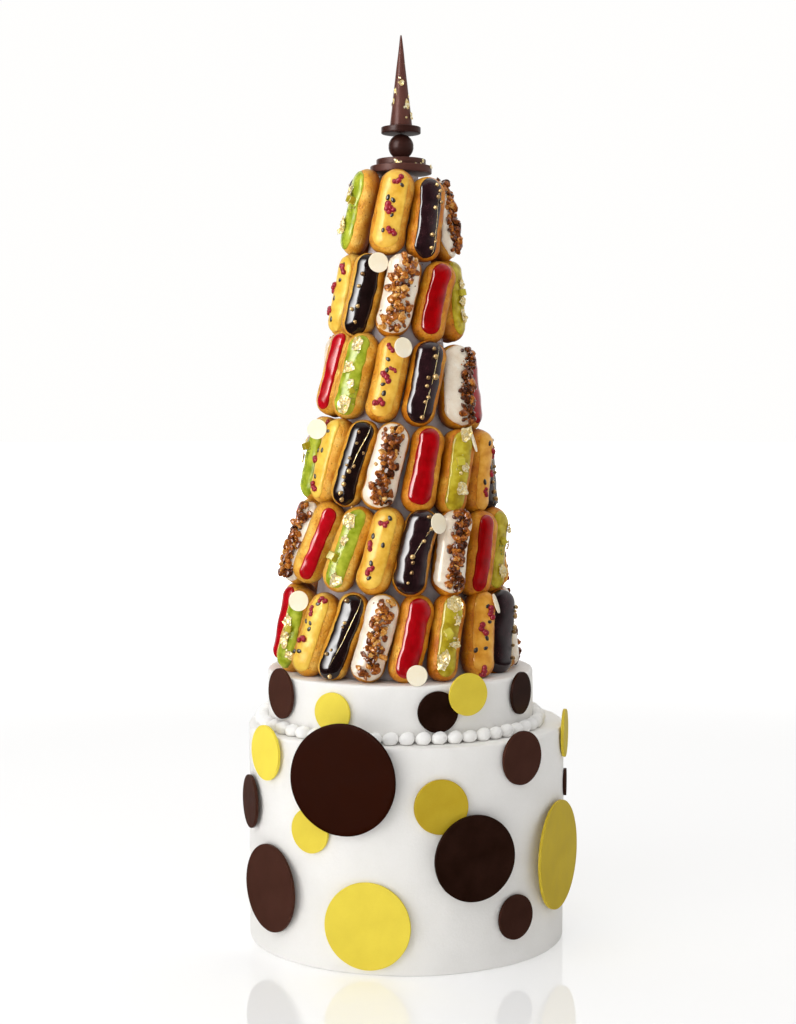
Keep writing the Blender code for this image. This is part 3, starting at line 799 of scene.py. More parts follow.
def berry(rng):
    """A broken piece of raspberry: a few drupelets stuck together."""
    verts, faces, count = [], [], 0
    n = rng.choice((4, 5, 6))
    for k in range(n):
        c = np.array([rng.uniform(-0.42, 0.42), -0.8 + 1.6 * k / (n - 1) + rng.uniform(-0.15, 0.15), rng.uniform(-0.05, 0.30)])
        r = rng.uniform(0.44, 0.62)
        v, f = BALLS[2]
        v = v * r * (1 + 0.10 * lumps(v + 3 * k, 0.8, rng.randrange(99)))[:, None] + c
        verts.append(v)
        faces += [tuple(count + i for i in face) for face in f]
        count += len(v)
    return np.concatenate(verts), faces


def seed_shape(rng):
    v, f = BALLS[2]
    v = v.copy()
    narrow = 1 - 0.28 * (v[:, 1] * 0.5 + 0.5) ** 2
    v[:, 0] *= 0.74 * narrow
    v[:, 2] *= 0.50 * narrow
    return v, f


def leaf(rng, across=1.0, along=1.0, n=9):
    """A torn, crumpled scrap of gold leaf, as a thin closed shell."""
    g = np.linspace(-1, 1, n)
    x, y = np.meshgrid(g, g, indexing="ij")
    # square grid pulled to a ragged round outline
    ang = np.arctan2(y, x)
    rad = np.maximum(np.abs(x), np.abs(y))
    ring = np.stack([np.cos(ang).ravel(), np.sin(ang).ravel(), np.full(ang.size, rng.random())], 1) + 5
    s = rng.randrange(9999)
    count = rng.randint(6, 9)
    turns = [(k + rng.uniform(-0.34, 0.34)) * 2 * math.pi / count for k in range(count)]
    corners = [np.array([math.cos(t), math.sin(t)]) * rng.uniform(0.62, 1.15) for t in turns]
    edge = np.ones(ang.shape)
    for k in range(count):
        a, b = corners[k], corners[(k + 1) % count]
        start = turns[k]
        reach = (turns[(k + 1) % count] - start) % (2 * math.pi)
        inside = ((ang - start) % (2 * math.pi)) <= reach
        d = b - a
        with np.errstate(divide="ignore", invalid="ignore"):
            far = (a[0] * d[1] - a[1] * d[0]) / (np.cos(ang) * d[1] - np.sin(ang) * d[0])
        edge[inside] = far[inside]
    edge = np.clip(edge, 0.3, 1.3) * (1 + 0.07 * lumps(ring, 0.16, s)).reshape(ang.shape)
    px, py = np.cos(ang) * rad * edge * across, np.sin(ang) * rad * edge * along
    q = np.stack([px.ravel(), py.ravel(), np.zeros(px.size)], 1) + 7
    s = rng.randrange(9999)
    z = 0.20 * lumps(q, 0.50, s) + 0.26 * np.abs(lumps(q, 0.34, s + 1)) + 0.10 * np.abs(lumps(q, 0.17, s + 2))
    z = z.reshape(px.shape) + 0.10 * rad ** 3
    top = np.stack([px.ravel(), py.ravel(), z.ravel() + 0.03], 1)
    low = np.stack([px.ravel(), py.ravel(), z.ravel() - 0.03], 1)
    faces, m = [], n * n
    for i in range(n - 1):
        for j in range(n - 1):
            a, b, c, d = i * n + j, (i + 1) * n + j, (i + 1) * n + j + 1, i * n + j + 1
            faces.append((a, b, c, d))
            faces.append((m + d, m + c, m + b, m + a))
    rim = [(i, 0) for i in range(n)] + [(n - 1, j) for j in range(1, n)] + [(i, n - 1) for i in range(n - 2, -1, -1)] \
        + [(0, j) for j in range(n - 2, 0, -1)]
    ids = [i * n + j for i, j in rim]
    for a, b in zip(ids, ids[1:] + ids[:1]):
        faces.append((a, m + a, m + b, b))
    return np.concatenate([top, low]), faces


def cube_shape(rng):
    bm = bmesh.new()
    bmesh.ops.create_cube(bm, size=1.7)
    bmesh.ops.bevel(bm, geom=list(bm.edges), offset=0.22, segments=3, affect="EDGES", profile=0.6)
    v = np.array([x.co[:] for x in bm.verts])
    f = [tuple(x.index for x in face.verts) for face in bm.faces]
    bm.free()
    v = v * (1 + 0.05 * lumps(v + rng.random() * 9, 0.9, rng.randrange(99)))[:, None]
    return v, f


def sized(m, x, y=None, z=None):
    y = x if y is None else y
    z = x if z is None else z
    return m @ Matrix.Diagonal((x, y, z, 1.0))


def tumbled(rng):
    return (Matrix.Rotation(rng.uniform(0, 6.3), 4, "Z") @ Matrix.Rotation(rng.uniform(-0.7, 0.7), 4, "X")
            @ Matrix.Rotation(rng.uniform(-0.7, 0.7), 4, "Y"))


SEEDS, BERRIES, NUTS, CRUMBS, PEARLS, LEAVES, CUBES, BITS = (Heap() for _ in range(8))

# Toppings of the eclairs that face the camera, by their places in the photograph's
# frame, each put on the glaze that shows there. The others are strewn by the same
# habits. A bit's last number is its size in mm.
Y_SEEDS = {
    (6, 2): [(318, 604), (306, 621), (310, 623), (309, 629), (294, 651), (299, 651)],
    (6, 7): [(488, 606), (490, 622), (487, 638), (476, 650), (486, 648)],
    (5, 3): [(390, 518), (373, 536), (383, 545), (371, 563), (369, 578)],
    (4, 1): [(328, 431), (318, 450), (322, 450), (315, 476)],
    (4, 6): [(490, 443), (491, 467), (485, 482)],
    (3, 2): [(388, 359), (387, 370), (383, 384), (384, 393)],
    (2, 0): [(344, 264), (340, 280), (334, 298), (331, 319)],
    (1, 1): [(402, 185), (388, 197), (393, 200), (392, 215), (383, 230)],
}
Y_BERRIES = {
    (6, 2): [(323, 600, 7), (311, 611, 8), (302, 639, 8)],
    (6, 7): [(491, 613, 9), (484, 629, 9.5), (483, 672, 9)],
    (5, 3): [(384, 524, 7), (371, 546, 7.5), (370, 571, 8)],
    (4, 1): [(326, 423, 7), (315, 460, 9), (314, 487, 8)],
    (4, 6): [(494, 453, 8), (493, 474, 8), (486, 492, 8)],
    (3, 2): [(391, 348, 7), (393, 370, 5.5), (386, 377, 9), (379, 402, 9)],
    (2, 0): [(343, 269, 8), (332, 288, 9), (329, 311, 8.5)],
    (1, 1): [(397, 179, 9), (389, 208, 10), (391, 231, 8)],
}


def dress_passion(e):
    r = random.Random(e.seed + 1)
    key = (e.number, e.index)
    seeds = Y_SEEDS.get(key)
    fruit = Y_BERRIES.get(key)
    if seeds is None:
        line = [0.72 - 1.44 * k / 7 + r.uniform(-0.06, 0.06) for k in range(8)]
        picks = set(r.sample(range(8), 3))
        fruit = [(r.uniform(-0.3, 0.3), line[k], r.uniform(7, 9.5)) for k in sorted(picks)]
        seeds = [(r.uniform(-0.4, 0.4), line[k]) for k in range(8) if k not in picks]
    for u, v in seeds:
        m = e.spot(*at(e, u, v), sink=0.0004, turn=r.uniform(-80, 80))
        SEEDS.add(seed_shape(r), sized(m, 0.0030 * r.uniform(0.9, 1.12)), 0.5)
    for u, v, size in fruit:
        m = e.spot(*at(e, u, v), sink=0.0003, turn=r.uniform(-90, 90))
        BERRIES.add(berry(r), sized(m, size * 0.00060, size * 0.00056, size * 0.00052), r.random())


def dress_praline(e):
    r = random.Random(e.seed + 2)
    n = r.randint(106, 114) if (e.number, e.index) != (6, 4) else 84
    pale, middle, spread = {(6, 4): (0.50, 0.10, 0.20), (2, 2): (0.52, 0.05, 0.30), (5, 5): (0.34, 0.16, 0.20), (4, 3): (0.34, 0.04, 0.25),
                            (3, 4): (0.24, 0.36, 0.20), (6, 9): (0.40, 0.62, 0.14), (3, 10): (0.40, -0.62, 0.14)}.get((e.number, e.index), (0.40, 0.0, 0.26))
    for k in range(n):
        v = 0.88 - 1.74 * (k + r.random()) / n
        u = middle + max(-2.1, min(2.1, r.gauss(0.0, 1.0))) * spread
        size = 0.0019 + 0.0024 * r.random() ** 1.6
        layer = r.choice((0.0, 0.0014, 0.0028)) if abs(u - middle) < spread else 0.0
        m = e.spot(u, v, sink=-layer - size * 0.40) @ tumbled(r)
        # nuts paler on eclairs that face the key light at the left: painted light
        tone = min(1.0, max(0.0, r.gauss(pale - 0.05 + 0.12 * (e.tint - 0.4), 0.25) + (0.35 if r.random() < 0.08 else 0.0)))
        NUTS.add(chunk(r, 2, r.randint(3, 5), (1.0, r.uniform(0.62, 0.95), r.uniform(0.6, 0.9)), 0.30, 0.45), sized(m, size * 1.22), tone)
    for k in range({(6, 4): 7, (2, 2): 9}.get((e.number, e.index), 0)):
        # broken halves of paler nuts on top
        m = e.spot(middle + r.gauss(0, spread * 0.9), 0.72 - 1.4 * (k + r.random()) / 8, sink=-0.0030) @ tumbled(r)
        NUTS.add(chunk(r, 2, 3, (1.0, r.uniform(0.45, 0.6), r.uniform(0.35, 0.5)), 0.34, 0.5), sized(m, r.uniform(0.0046, 0.0060)), r.uniform(0.72, 0.95))
    for k in range(24):
        m = e.spot(middle + r.gauss(0, spread * 1.3), r.uniform(-0.85, 0.85), sink=-0.0003) @ tumbled(r)
        CRUMBS.add(chunk(r, 1, 2), sized(m, r.uniform(0.0006, 0.0013)), min(1.0, max(0.0, r.gauss(0.5, 0.25))))


# Ends of the drawn gold line, and the crisp pearls and bits on the dark glaze.
GOLD_LINES = {
    (6, 3): ((361, 595), (329, 667)), (5, 4): ((434, 511), (413, 557)), (4, 2): ((371, 421), (350, 470)),
    (3, 3): ((439, 346), (423, 417)), (1, 2): ((0.62, 0.6), (0.72, -0.9)), (6, 8): ((0.85, 0.9), (0.85, -0.9)),
}
K_BITS = {
    (6, 3): [(347, 601, 6), (345, 623, 4), (343, 627, 3), (331, 650, 3), (327, 654, 4.2), (330, 676, 4.6)],
    (5, 4): [(429, 517, 5), (431, 529, 4), (428, 533, 3), (424, 541, 4), (413, 557, 5), (413, 563, 4), (412, 573, 4.6), (408, 583, 3)],
    (4, 2): [(359, 432, 4), (357, 443, 3.5), (363, 453, 3.5), (350, 458, 4), (347, 465, 3.5), (354, 466, 4), (349, 471, 5), (344, 477, 4),
             (344, 484, 5), (341, 493, 5), (342, 499, 5), (353, 506, 3.5)],
    (3, 3): [(434, 349, 4), (435, 357, 5), (435, 377, 6.5), (428, 378, 4), (427, 386, 4), (428, 397, 4), (425, 402, 4), (422, 417, 4.6)],
    (2, 1): [(363, 274, 4.6), (359, 286, 4), (358, 306, 4.6), (352, 309, 4.6), (355, 322, 4)],
    (1, 2): [(437, 185, 4.2), (440, 191, 4), (438, 197, 4), (441, 202, 3.6), (435, 208, 4), (432, 235, 4.6), (435, 241, 3.6), (431, 248, 4.2)],
    (6, 8): [(0.80, 0.62, 4.6), (0.82, 0.40, 4), (0.90, 0.12, 5), (0.78, 0.02, 4.6), (0.84, -0.30, 3.4), (0.86, -0.60, 4.2), (0.8, 0.52, 3)],
}


def tube(points, normals, width, height):
    """A thin ridge of gold along the points."""
    ring = [(-1.0, -0.4), (-0.8, 0.5), (0.0, 1.0), (0.8, 0.5), (1.0, -0.4), (0.0, -0.8)]
    verts, faces = [], []
    n = len(points)
    for k in range(n):
        d = (points[min(k + 1, n - 1)] - points[max(k - 1, 0)]).normalized()
        side = d.cross(normals[k]).normalized()
        w = width * min(1.0, 0.25 + 3.0 * min(k, n - 1 - k) / n) * (1 + 0.25 * math.sin(k * 1.7) * math.sin(k * 0.53))
        for x, z in ring:
            verts.append(points[k] + side * x * w + normals[k] * z * height)
    m = len(ring)
    for k in range(n - 1):
        for j in range(m):
            a, b = k * m + j, k * m + (j + 1) % m
            faces.append((a, b, b + m, a + m))
    faces.append(tuple(range(m - 1, -1, -1)))
    faces.append(tuple((n - 1) * m + j for j in range(m)))
    return np.array([v[:] for v in verts]), faces


def dress_chocolate(e):
    r = random.Random(e.seed + 3)
    key = (e.number, e.index)
    line = GOLD_LINES.get(key)
    if line is None and key not in K_BITS:
        line = (r.uniform(-0.1, 0.5), 0.88), (r.uniform(-0.4, 0.2), r.uniform(-0.85, -0.5))
    if line:
        (u0, v0), (u1, v1) = (at(e, *end) for end in line)
        pts, nor = [], []
        steps = 40
        for k in range(steps + 1):
            f = k / steps
            m = e.spot(u0 + (u1 - u0) * f + 0.015 * math.sin(9 * f + e.seed), v0 + (v1 - v0) * f, sink=0.0001)
            pts.append(m.translation.copy())
            nor.append((m.to_3x3() @ Vector((0, 0, 1))).normalized())
        LEAVES.add(tube(pts, nor, 0.00034, 0.00026), Matrix.Identity(4), 0.4)
    bits = K_BITS.get(key)
    if bits is None:
        bits = [(u0 + (u1 - u0) * f + r.uniform(-0.2, 0.2), 0.8 - 1.6 * f, r.uniform(3, 5.2))
                for f in (0.05, 0.15, 0.3, 0.45, 0.55, 0.7, 0.85, 0.95)]
    for u, v, size in bits:
        s = size * 0.00046
        m = e.spot(*at(e, u, v), sink=-s * 0.55) @ tumbled(r)
        PEARLS.add(chunk(r, 2, r.choice((0, 1, 1)), (1.0, 0.95, 0.85)), sized(m, s * 1.1), r.uniform(0.25, 1.0))


G_LEAVES = {
    # place, full width and length in mm, turn
    (6, 1): [(288, 621, 12, 14, 0), (286, 639, 11, 18, 8), (289, 655, 10, 10, 30)],
    (6, 6): [(455, 604, 17, 15, 10), (458, 620, 7, 12, 15), (455, 645, 12, 8, 0), (443, 660, 14, 20, -15)],
    (5, 2): [(350, 522, 16, 17, 10), (344, 541, 9, 10, -10), (336, 580, 13, 15, 0)],
    (5, 7): [(508, 528, 9, 12, 0), (510, 545, 8, 12, 20), (501, 572, 13, 14, 0)],
    (4, 0): [(305, 444, 11, 13, 0), (303, 457, 10, 12, 20)],
    (4, 5): [(466, 435, 14, 20, -20), (465, 468, 7, 11, 10), (461, 490, 13, 13, 20)],
    (3, 1): [(358, 345, 13, 15, 0), (349, 368, 14, 14, 10), (351, 383, 8, 9, 0), (345, 405, 13, 24, 5)],
    (1, 0): [(-0.05, 0.40, 11, 20, 5), (-0.25, -0.42, 13, 20, 0)],
    (2, 4): [(0.1, 0.35, 10, 10, 0), (0.2, -0.1, 12, 10, 0), (0.1, -0.5, 10, 14, 0)],
}
G_CUBES = {
    (6, 1): [(0.1, 0.1, 6.6)], (6, 6): [(448, 634, 8.6)], (5, 2): [(334, 557, 8.6)], (4, 5): [(460, 461, 7.6)],
    (3, 1): [(352, 391, 5.6)], (1, 0): [(353, 200, 7.6)], (2, 4): [(0.0, 0.1, 6.8)], (5, 7): [(-0.1, 0.2, 6.4)], (4, 0): [(-0.2, 0.28, 7.4)],
}


def dress_green(e):
    r = random.Random(e.seed + 4)
    key = (e.number, e.index)
    leaves = G_LEAVES.get(key) or [(r.uniform(-0.3, 0.3), v + r.uniform(-0.1, 0.1), r.uniform(9, 15), r.uniform(10, 18), r.uniform(-40, 40))
                                   for v in (0.62, 0.1, -0.5)]
    cubes = G_CUBES.get(key) or [(r.uniform(-0.2, 0.3), r.uniform(-0.15, 0.3), r.uniform(6.4, 8.4))]
    for u, v, hx, hy, turn in leaves:
        u, v = at(e, u, v)
        m = e.spot(u, v, sink=-0.0006, turn=turn)
        s = 0.0005 * (hx + hy) / 2
        LEAVES.add(leaf(r, hx / (hx + hy) * 2, hy / (hx + hy) * 2, 15), sized(m, s * 1.06, s * 1.06, s * 0.92), 0.5)
        for _ in range(5):
            m2 = e.spot(u + r.uniform(-0.35, 0.35), v + r.uniform(-0.16, 0.16), sink=-0.0006, turn=r.uniform(0, 360)) @ tumbled(r)
            LEAVES.add(leaf(r, 1, r.uniform(0.5, 1.0), 6), sized(m2, r.uniform(0.0010, 0.0022)), 0.5)
    for u, v, size in cubes:
        u, v = at(e, u, v)
        s = size * 0.00048
        m = e.spot(u, v, sink=-s * 0.7) @ Matrix.Rotation(r.uniform(0, 6.3), 4, "Z") @ Matrix.Rotation(r.uniform(0.25, 0.65), 4, "X")
        CUBES.add(cube_shape(r), sized(m, s * 1.15), r.uniform(0.3, 0.9))
        for _ in range(16):
            uu, vv = u + r.gauss(0.12, 0.16), v + r.gauss(-0.10, 0.12)
            q = r.uniform(0.0006, 0.0013)
            BITS.add(chunk(r, 1, 2), sized(e.spot(uu, vv, sink=-q * 0.4) @ tumbled(r), q), r.random())


DRESS = {"Y": dress_passion, "N": dress_praline, "K": dress_chocolate, "G": dress_green}

SKIN = []          # world points of all eclairs, for what leans on them
for number, row in ROWS.items():
    for index, az in enumerate(azimuths(number, row)):
        e = Eclair(number, index, row, az, FLAVOURS[number][index])
        for ob in (e.choux(), e.glaze()):
            m = np.array(e.matrix)
            co = np.empty(len(ob.data.vertices) * 3)
            ob.data.vertices.foreach_get("co", co)
            SKIN.append(co.reshape(-1, 3) @ m[:3, :3].T + m[:3, 3])
        if e.flavour in DRESS:
            DRESS[e.flavour](e)


# ------------------------------------------------------------------ cake tiers
def lathe(profile, sides, x=0.0, relief=None, caps=(True, True)):
    """Vertices and faces of a body turned about Z; relief moves each point."""
    prof = np.array(profile, float)
    ang = np.linspace(0, 2 * math.pi, sides, endpoint=False)
    r = np.repeat(prof[:, 0], sides)
    z = np.repeat(prof[:, 1], sides)
    a = np.tile(ang, len(prof))
    pts = np.stack([r * np.sin(a), -r * np.cos(a), z], 1)
    if relief is not None:
        pts = relief(pts, r, a, z)
    pts[:, 0] += x
    faces = []
    n = len(prof)
    for k in range(n - 1):
        for j in range(sides):
            i = (j + 1) % sides
            faces.append((k * sides + j, k * sides + i, (k + 1) * sides + i, (k + 1) * sides + j))
    if caps[0]:
        faces.append(tuple(range(sides - 1, -1, -1)))
    if caps[1]:
        faces.append(tuple((n - 1) * sides + j for j in range(sides)))
    return pts, faces


def tier(name, node, radius, z0, z1, x, seed):
    """Iced tier: near-straight wall, a crisp, slightly ragged top edge, flat top."""
    prof = [(radius - 0.0020, z0), (radius - 0.0004, z0 + 0.0007), (radius, z0 + 0.0022)]
    walls = 18
    prof += [(radius, z0 + 0.0022 + (z1 - z0 - 0.0060) * k / walls) for k in range(1, walls + 1)]
    e = 0.0026
    for k in range(1, 7):
        a = math.radians(90 * k / 6)
        prof.append((radius - e * (1 - math.cos(a)), z1 - e + e * math.sin(a) - 0.0))
    prof += [(radius - e - 0.0015, z1 - 0.00005), (radius - e - 0.004, z1 - 0.0002), (radius - 0.015, z1 - 0.0002),
             (radius - 0.035, z1 - 0.0002), (0.055, z1 - 0.0002), (0.004, z1 - 0.0002)]

    def relief(p, r, a, z):
        body = 0.00045 * lumps(p + 3, 0.060, seed) + 0.00018 * lumps(p + 3, 0.016, seed + 1)
        rim = np.exp(-((z - z1 + 0.001) / 0.0022) ** 2) * (r > radius - 0.006)
        ragged = 0.00050 * lumps(p + 3, 0.0075, seed + 2) + 0.00035 * lumps(p + 3, 0.0032, seed + 3)
        wall = (r > radius - 0.004)
        s = 1 + wall * (body + rim * ragged) / np.maximum(r, 1e-6)
        q = p.copy()
        q[:, 0] *= s
        q[:, 1] *= s
        q[:, 2] += rim * ragged * 0.7 + np.where((z > z1 - 0.0004) & ~(rim > 0.3), 0.0001 * lumps(p + 3, 0.02, seed + 4), 0)
        q[z < z0 + 0.0001, 2] = z0
        return q

    pts, faces = lathe(prof, 288, x, relief)
    ob = mesh_object(name, pts, faces, ICING, sharp=60)
    return piece(ob, node, slot="icing")


tier("lower_tier_icing", "lower_tier", LOWER_R, 0.0, LOWER_H, 0.0, 5)
tier("upper_tier_icing", "upper_tier", UPPER_R, LOWER_H + GAP, UPPER_TOP, UPPER_X, 11)


def beads():
    """Piped pearls, each a round drop with a small tail folded over the next."""
    heap = Heap()
    r = random.Random(77)
    ring = UPPER_R + BEAD_W / 2 - 0.0002
    for k in range(BEADS):
        az = 360.0 * (k + 0.35) / BEADS
        rows, cols = 13, 22
        verts, faces = [], []
        top = r.uniform(0.94, 1.05)
        wide = r.uniform(0.97, 1.04)
        for i in range(rows + 1):
            f = i / rows
            th = math.radians(-52 + 142 * f)
            rad = math.cos(th) * BEAD_W / 2 * 1.02
            z = (math.sin(th) + 0.79) / 1.79 * BEAD_H
            if f > 0.86:
                rad *= 1 - 0.25 * (f - 0.86) / 0.14
                z += 0.0004 * ((f - 0.86) / 0.14) ** 2
            for j in range(cols):
                a = 2 * math.pi * j / cols
                verts.append((rad * math.cos(a) * 1.08 * wide, rad * math.sin(a), z * top))
        for i in range(rows):
            for j in range(cols):
                a, b = i * cols + j, i * cols + (j + 1) % cols
                faces.append((a, b, b + cols, a + cols))
        faces.append(tuple(range(cols - 1, -1, -1)))
        faces.append(tuple(rows * cols + j for j in range(cols)))
        v = np.array(verts)
        v[:, 0] += 0.0016 * (v[:, 2] / BEAD_H) ** 2            # the pearl leans on its neighbour
        m = (Matrix.Translation(outward(az) * ring + Vector((UPPER_X, 0, LOWER_H + 0.0002)))
             @ Matrix.Rotation(math.radians(az), 4, "Z") @ Matrix.Rotation(r.uniform(-0.06, 0.06), 4, "X"))
        heap.add((v, faces), m, 0.5)
    return heap.build("bead_border_icing", PIPING_PAINTED_LIGHTER, ("bead_border",), "icing", sharp=60)


beads()


# ------------------------------------------------------------------ cone
def cone():
    n = 26
    prof = [(cone_radius(CONE_Z0 + (CONE_TOP - CONE_Z0) * k / n), CONE_Z0 + (CONE_TOP - CONE_Z0) * k / n) for k in range(n + 1)]

    def relief(p, r, a, z):
        s = 1 + (0.0004 * lumps(p + 3, 0.03, 3)) / r
        q = p.copy()
        q[:, 0] *= s
        q[:, 1] *= s
        return q
    pts, faces = lathe(prof, 96, TOWER_X, relief)
    return piece(mesh_object("cone_coating", pts, faces, CONE, sharp=50), "cone", slot="cone")


cone()


# ------------------------------------------------------------------ finial
def rounded_disc(radius, z0, z1, e):
    prof = [(0.003, z0), (radius * 0.6, z0), (radius - e, z0)]
    prof += [(radius - e + e * math.sin(math.radians(a)), z0 + e - e * math.cos(math.radians(a))) for a in (30, 60, 90)]
    prof += [(radius, z0 + e + (z1 - z0 - 2 * e) * k / 3) for k in (1, 2, 3)]
    prof += [(radius - e + e * math.cos(math.radians(a)), z1 - e + e * math.sin(math.radians(a))) for a in (30, 60, 90)]
    prof += [(radius * 0.6, z1), (0.003, z1)]
    return prof


FINIAL_TONES = {"finial_disc_low": 0.75, "finial_disc_mid": 0.60, "finial_ball": 0.20, "finial_disc_top": 0.22, "finial_spire": 0.88}


def fin(name, prof, node, sides=96, seed=0, amount=0.00018):
    def relief(p, r, a, z):
        q = p + np.stack([lumps(p + 3, 0.02, seed) * amount, lumps(p + 3, 0.02, seed + 1) * amount, np.zeros(len(p))], 1) \
            * (r > 0.0005)[:, None]
        return q
    pts, faces = lathe(prof, sides, FIN_X, relief)
    return piece(mesh_object(name, pts, faces, CHOC, sharp=45, tone=np.full(len(pts), FINIAL_TONES[node])), node, slot="chocolate")


fin("finial_low_plate", rounded_disc(*DISC_LOW, 0.0007), "finial_disc_low", seed=1)
fin("finial_mid_plate", rounded_disc(*DISC_MID, 0.0007), "finial_disc_mid", seed=2)
fin("finial_top_plate", rounded_disc(*DISC_TOP, 0.0008), "finial_disc_top", seed=3)
sphere = [(0.0004, BALL_Z - BALL_R)]
for k in range(1, 48):
    d = -90 + 180 * k / 48
    rr = BALL_R * math.cos(math.radians(d))
    if abs(d) < 5:
        rr -= 0.00022 * (1 - abs(d) / 5)        # seam where its halves meet
    sphere.append((rr, BALL_Z + BALL_R * math.sin(math.radians(d))))
sphere.append((0.0004, BALL_Z + BALL_R))
fin("finial_round", sphere, "finial_ball", seed=4, amount=0.0001)
spire = [(SPIRE_R * 0.97, SPIRE_Z0), (SPIRE_R, SPIRE_Z0 + 0.0006)]
for k in range(1, 40):
    f = k / 40
    spire.append((SPIRE_R + (0.0009 - SPIRE_R) * f, SPIRE_Z0 + 0.0006 + (SPIRE_Z1 - SPIRE_Z0 - 0.0016) * f))
spire += [(0.0008, SPIRE_Z1 - 0.0010), (0.0005, SPIRE_Z1 - 0.0004), (0.0002, SPIRE_Z1)]
fin("finial_point", spire, "finial_spire", sides=64, seed=5)


def finial_gold():
    r = random.Random(4)
    heap = LEAVES

    def on_spire(z, az, size, long=1.0, turn=0.0, lift=0.0003):
        f = (z - SPIRE_Z0) / (SPIRE_Z1 - SPIRE_Z0)
        rad = SPIRE_R * (1 - f) + lift
        n = outward(az)
        up = Vector((0, 0, 1))
        side = up.cross(n)
        m = Matrix((side, up, n)).transposed().to_4x4()
        m.translation = Vector((FIN_X, 0, z)) + n * rad
        m = m @ Matrix.Rotation(math.radians(turn), 4, "Z")
        heap.add(leaf(r, 1.0, long, 8), sized(m, size, size, size * 0.45), 0.5)

    on_spire(0.8459, 3, 0.0034, 1.1, 45)
    on_spire(0.8510, -12, 0.0013)
    on_spire(0.8380, -48, 0.0026, 1.6, 10)
    on_spire(0.8290, -58, 0.0018, 2.0, -5, 0.0006)
    on_spire(0.8250, 42, 0.0032, 2.2, 8, 0.0006)
    on_spire(0.8330, 62, 0.0016, 1.2, 0, 0.0006)
    on_spire(0.8220, 20, 0.0016, 1.0, 30)
    on_spire(0.8140, 66, 0.0030, 1.3, 20, 0.0012)
    on_spire(0.8120, 30, 0.0014, 1.0, 0)
    on_spire(0.8650, 60, 0.0010, 1.0, 0)
    on_spire(0.8830, 10, 0.0008, 1.2, 0)
    for az in (118, 150, 205, 240):
        on_spire(r.uniform(0.812, 0.86), az, r.uniform(0.0014, 0.003), r.uniform(1, 1.6), r.uniform(0, 90))

    def on_rim(radius, z, az, size, long, up=0.0, turn=0.0):
        n = outward(az)
        n = (n + Vector((0, 0, up))).normalized()
        side = Vector((0, 0, 1)).cross(n).normalized()
        m = Matrix((side, n.cross(side), n)).transposed().to_4x4()
        m.translation = Vector((FIN_X, 0, z)) + outward(az) * (radius + 0.0003)
        m = m @ Matrix.Rotation(math.radians(turn), 4, "Z")
        heap.add(leaf(r, 1.0, long, 8), sized(m, size, size, size * 0.5), 0.5)

    for az, z, s, long in ((-9, 0.7668, 0.0028, 0.5), (-2, 0.7660, 0.0020, 0.8), (-14, 0.7688, 0.0014, 0.6)):
        on_rim(DISC_MID[0], z, az, s, long)
    for az, z, s, long in ((36, 0.7655, 0.0018, 0.7), (60, 0.7690, 0.0026, 1.2), (52, 0.7660, 0.0018, 0.8), (70, 0.7640, 0.0030, 0.7),
                           (84, 0.7635, 0.0022, 0.6), (200, 0.7640, 0.0026, 0.8), (150, 0.7690, 0.0020, 0.8)):
        on_rim(DISC_MID[0] if z > 0.7652 else DISC_LOW[0], z, az, s, long)


finial_gold()


# ------------------------------------------------------------------ plaques
def plaque_place(level, az, z, off):
    wall, x = (LOWER_R, 0.0) if level == 1 else (UPPER_R, UPPER_X)
    back = wall + GAP + off
    return (Matrix.Translation(outward(az) * back + Vector((x, 0, z)))
            @ Matrix.Rotation(math.radians(az), 4, "Z") @ Matrix.Rotation(math.radians(90), 4, "X"))


def flat_disc(name, radius, thick, mat, matrix, node, slot, seed, edge=0.0004, sides=128, tone=0.5):
    """A cut disc with a softened edge and a slightly uneven outline and face."""
    prof = [(0.0012, 0.0), (radius * 0.5, 0.0), (radius - edge, 0.0), (radius, edge)]
    prof += [(radius, thick - edge)] + [(radius - edge + edge * math.cos(math.radians(a)), thick - edge + edge * math.sin(math.radians(a)))
                                        for a in (35, 65, 90)]
    prof += [(radius * f, thick) for f in (0.93, 0.8, 0.6, 0.4, 0.2)] + [(0.0012, thick)]

    def relief(p, r, a, z):
        q = p.copy()
        ring = np.stack([np.cos(a), np.sin(a), np.zeros(len(a))], 1)
        s = 1 + 0.004 * lumps(ring + 5, 0.9, seed) + 0.0016 * lumps(ring + 5, 0.25, seed + 1)
        q[:, 0] *= s
        q[:, 1] *= s
        q[:, 2] += np.where(z > thick * 0.5, 0.00012 * lumps(p + 5, 0.03, seed + 2), 0.0)
        return q
    pts, faces = lathe(prof, sides, 0.0, relief)
    return piece(mesh_object(name, pts, faces, mat, matrix, sharp=40, tone=np.full(len(pts), tone)), node, slot=slot)


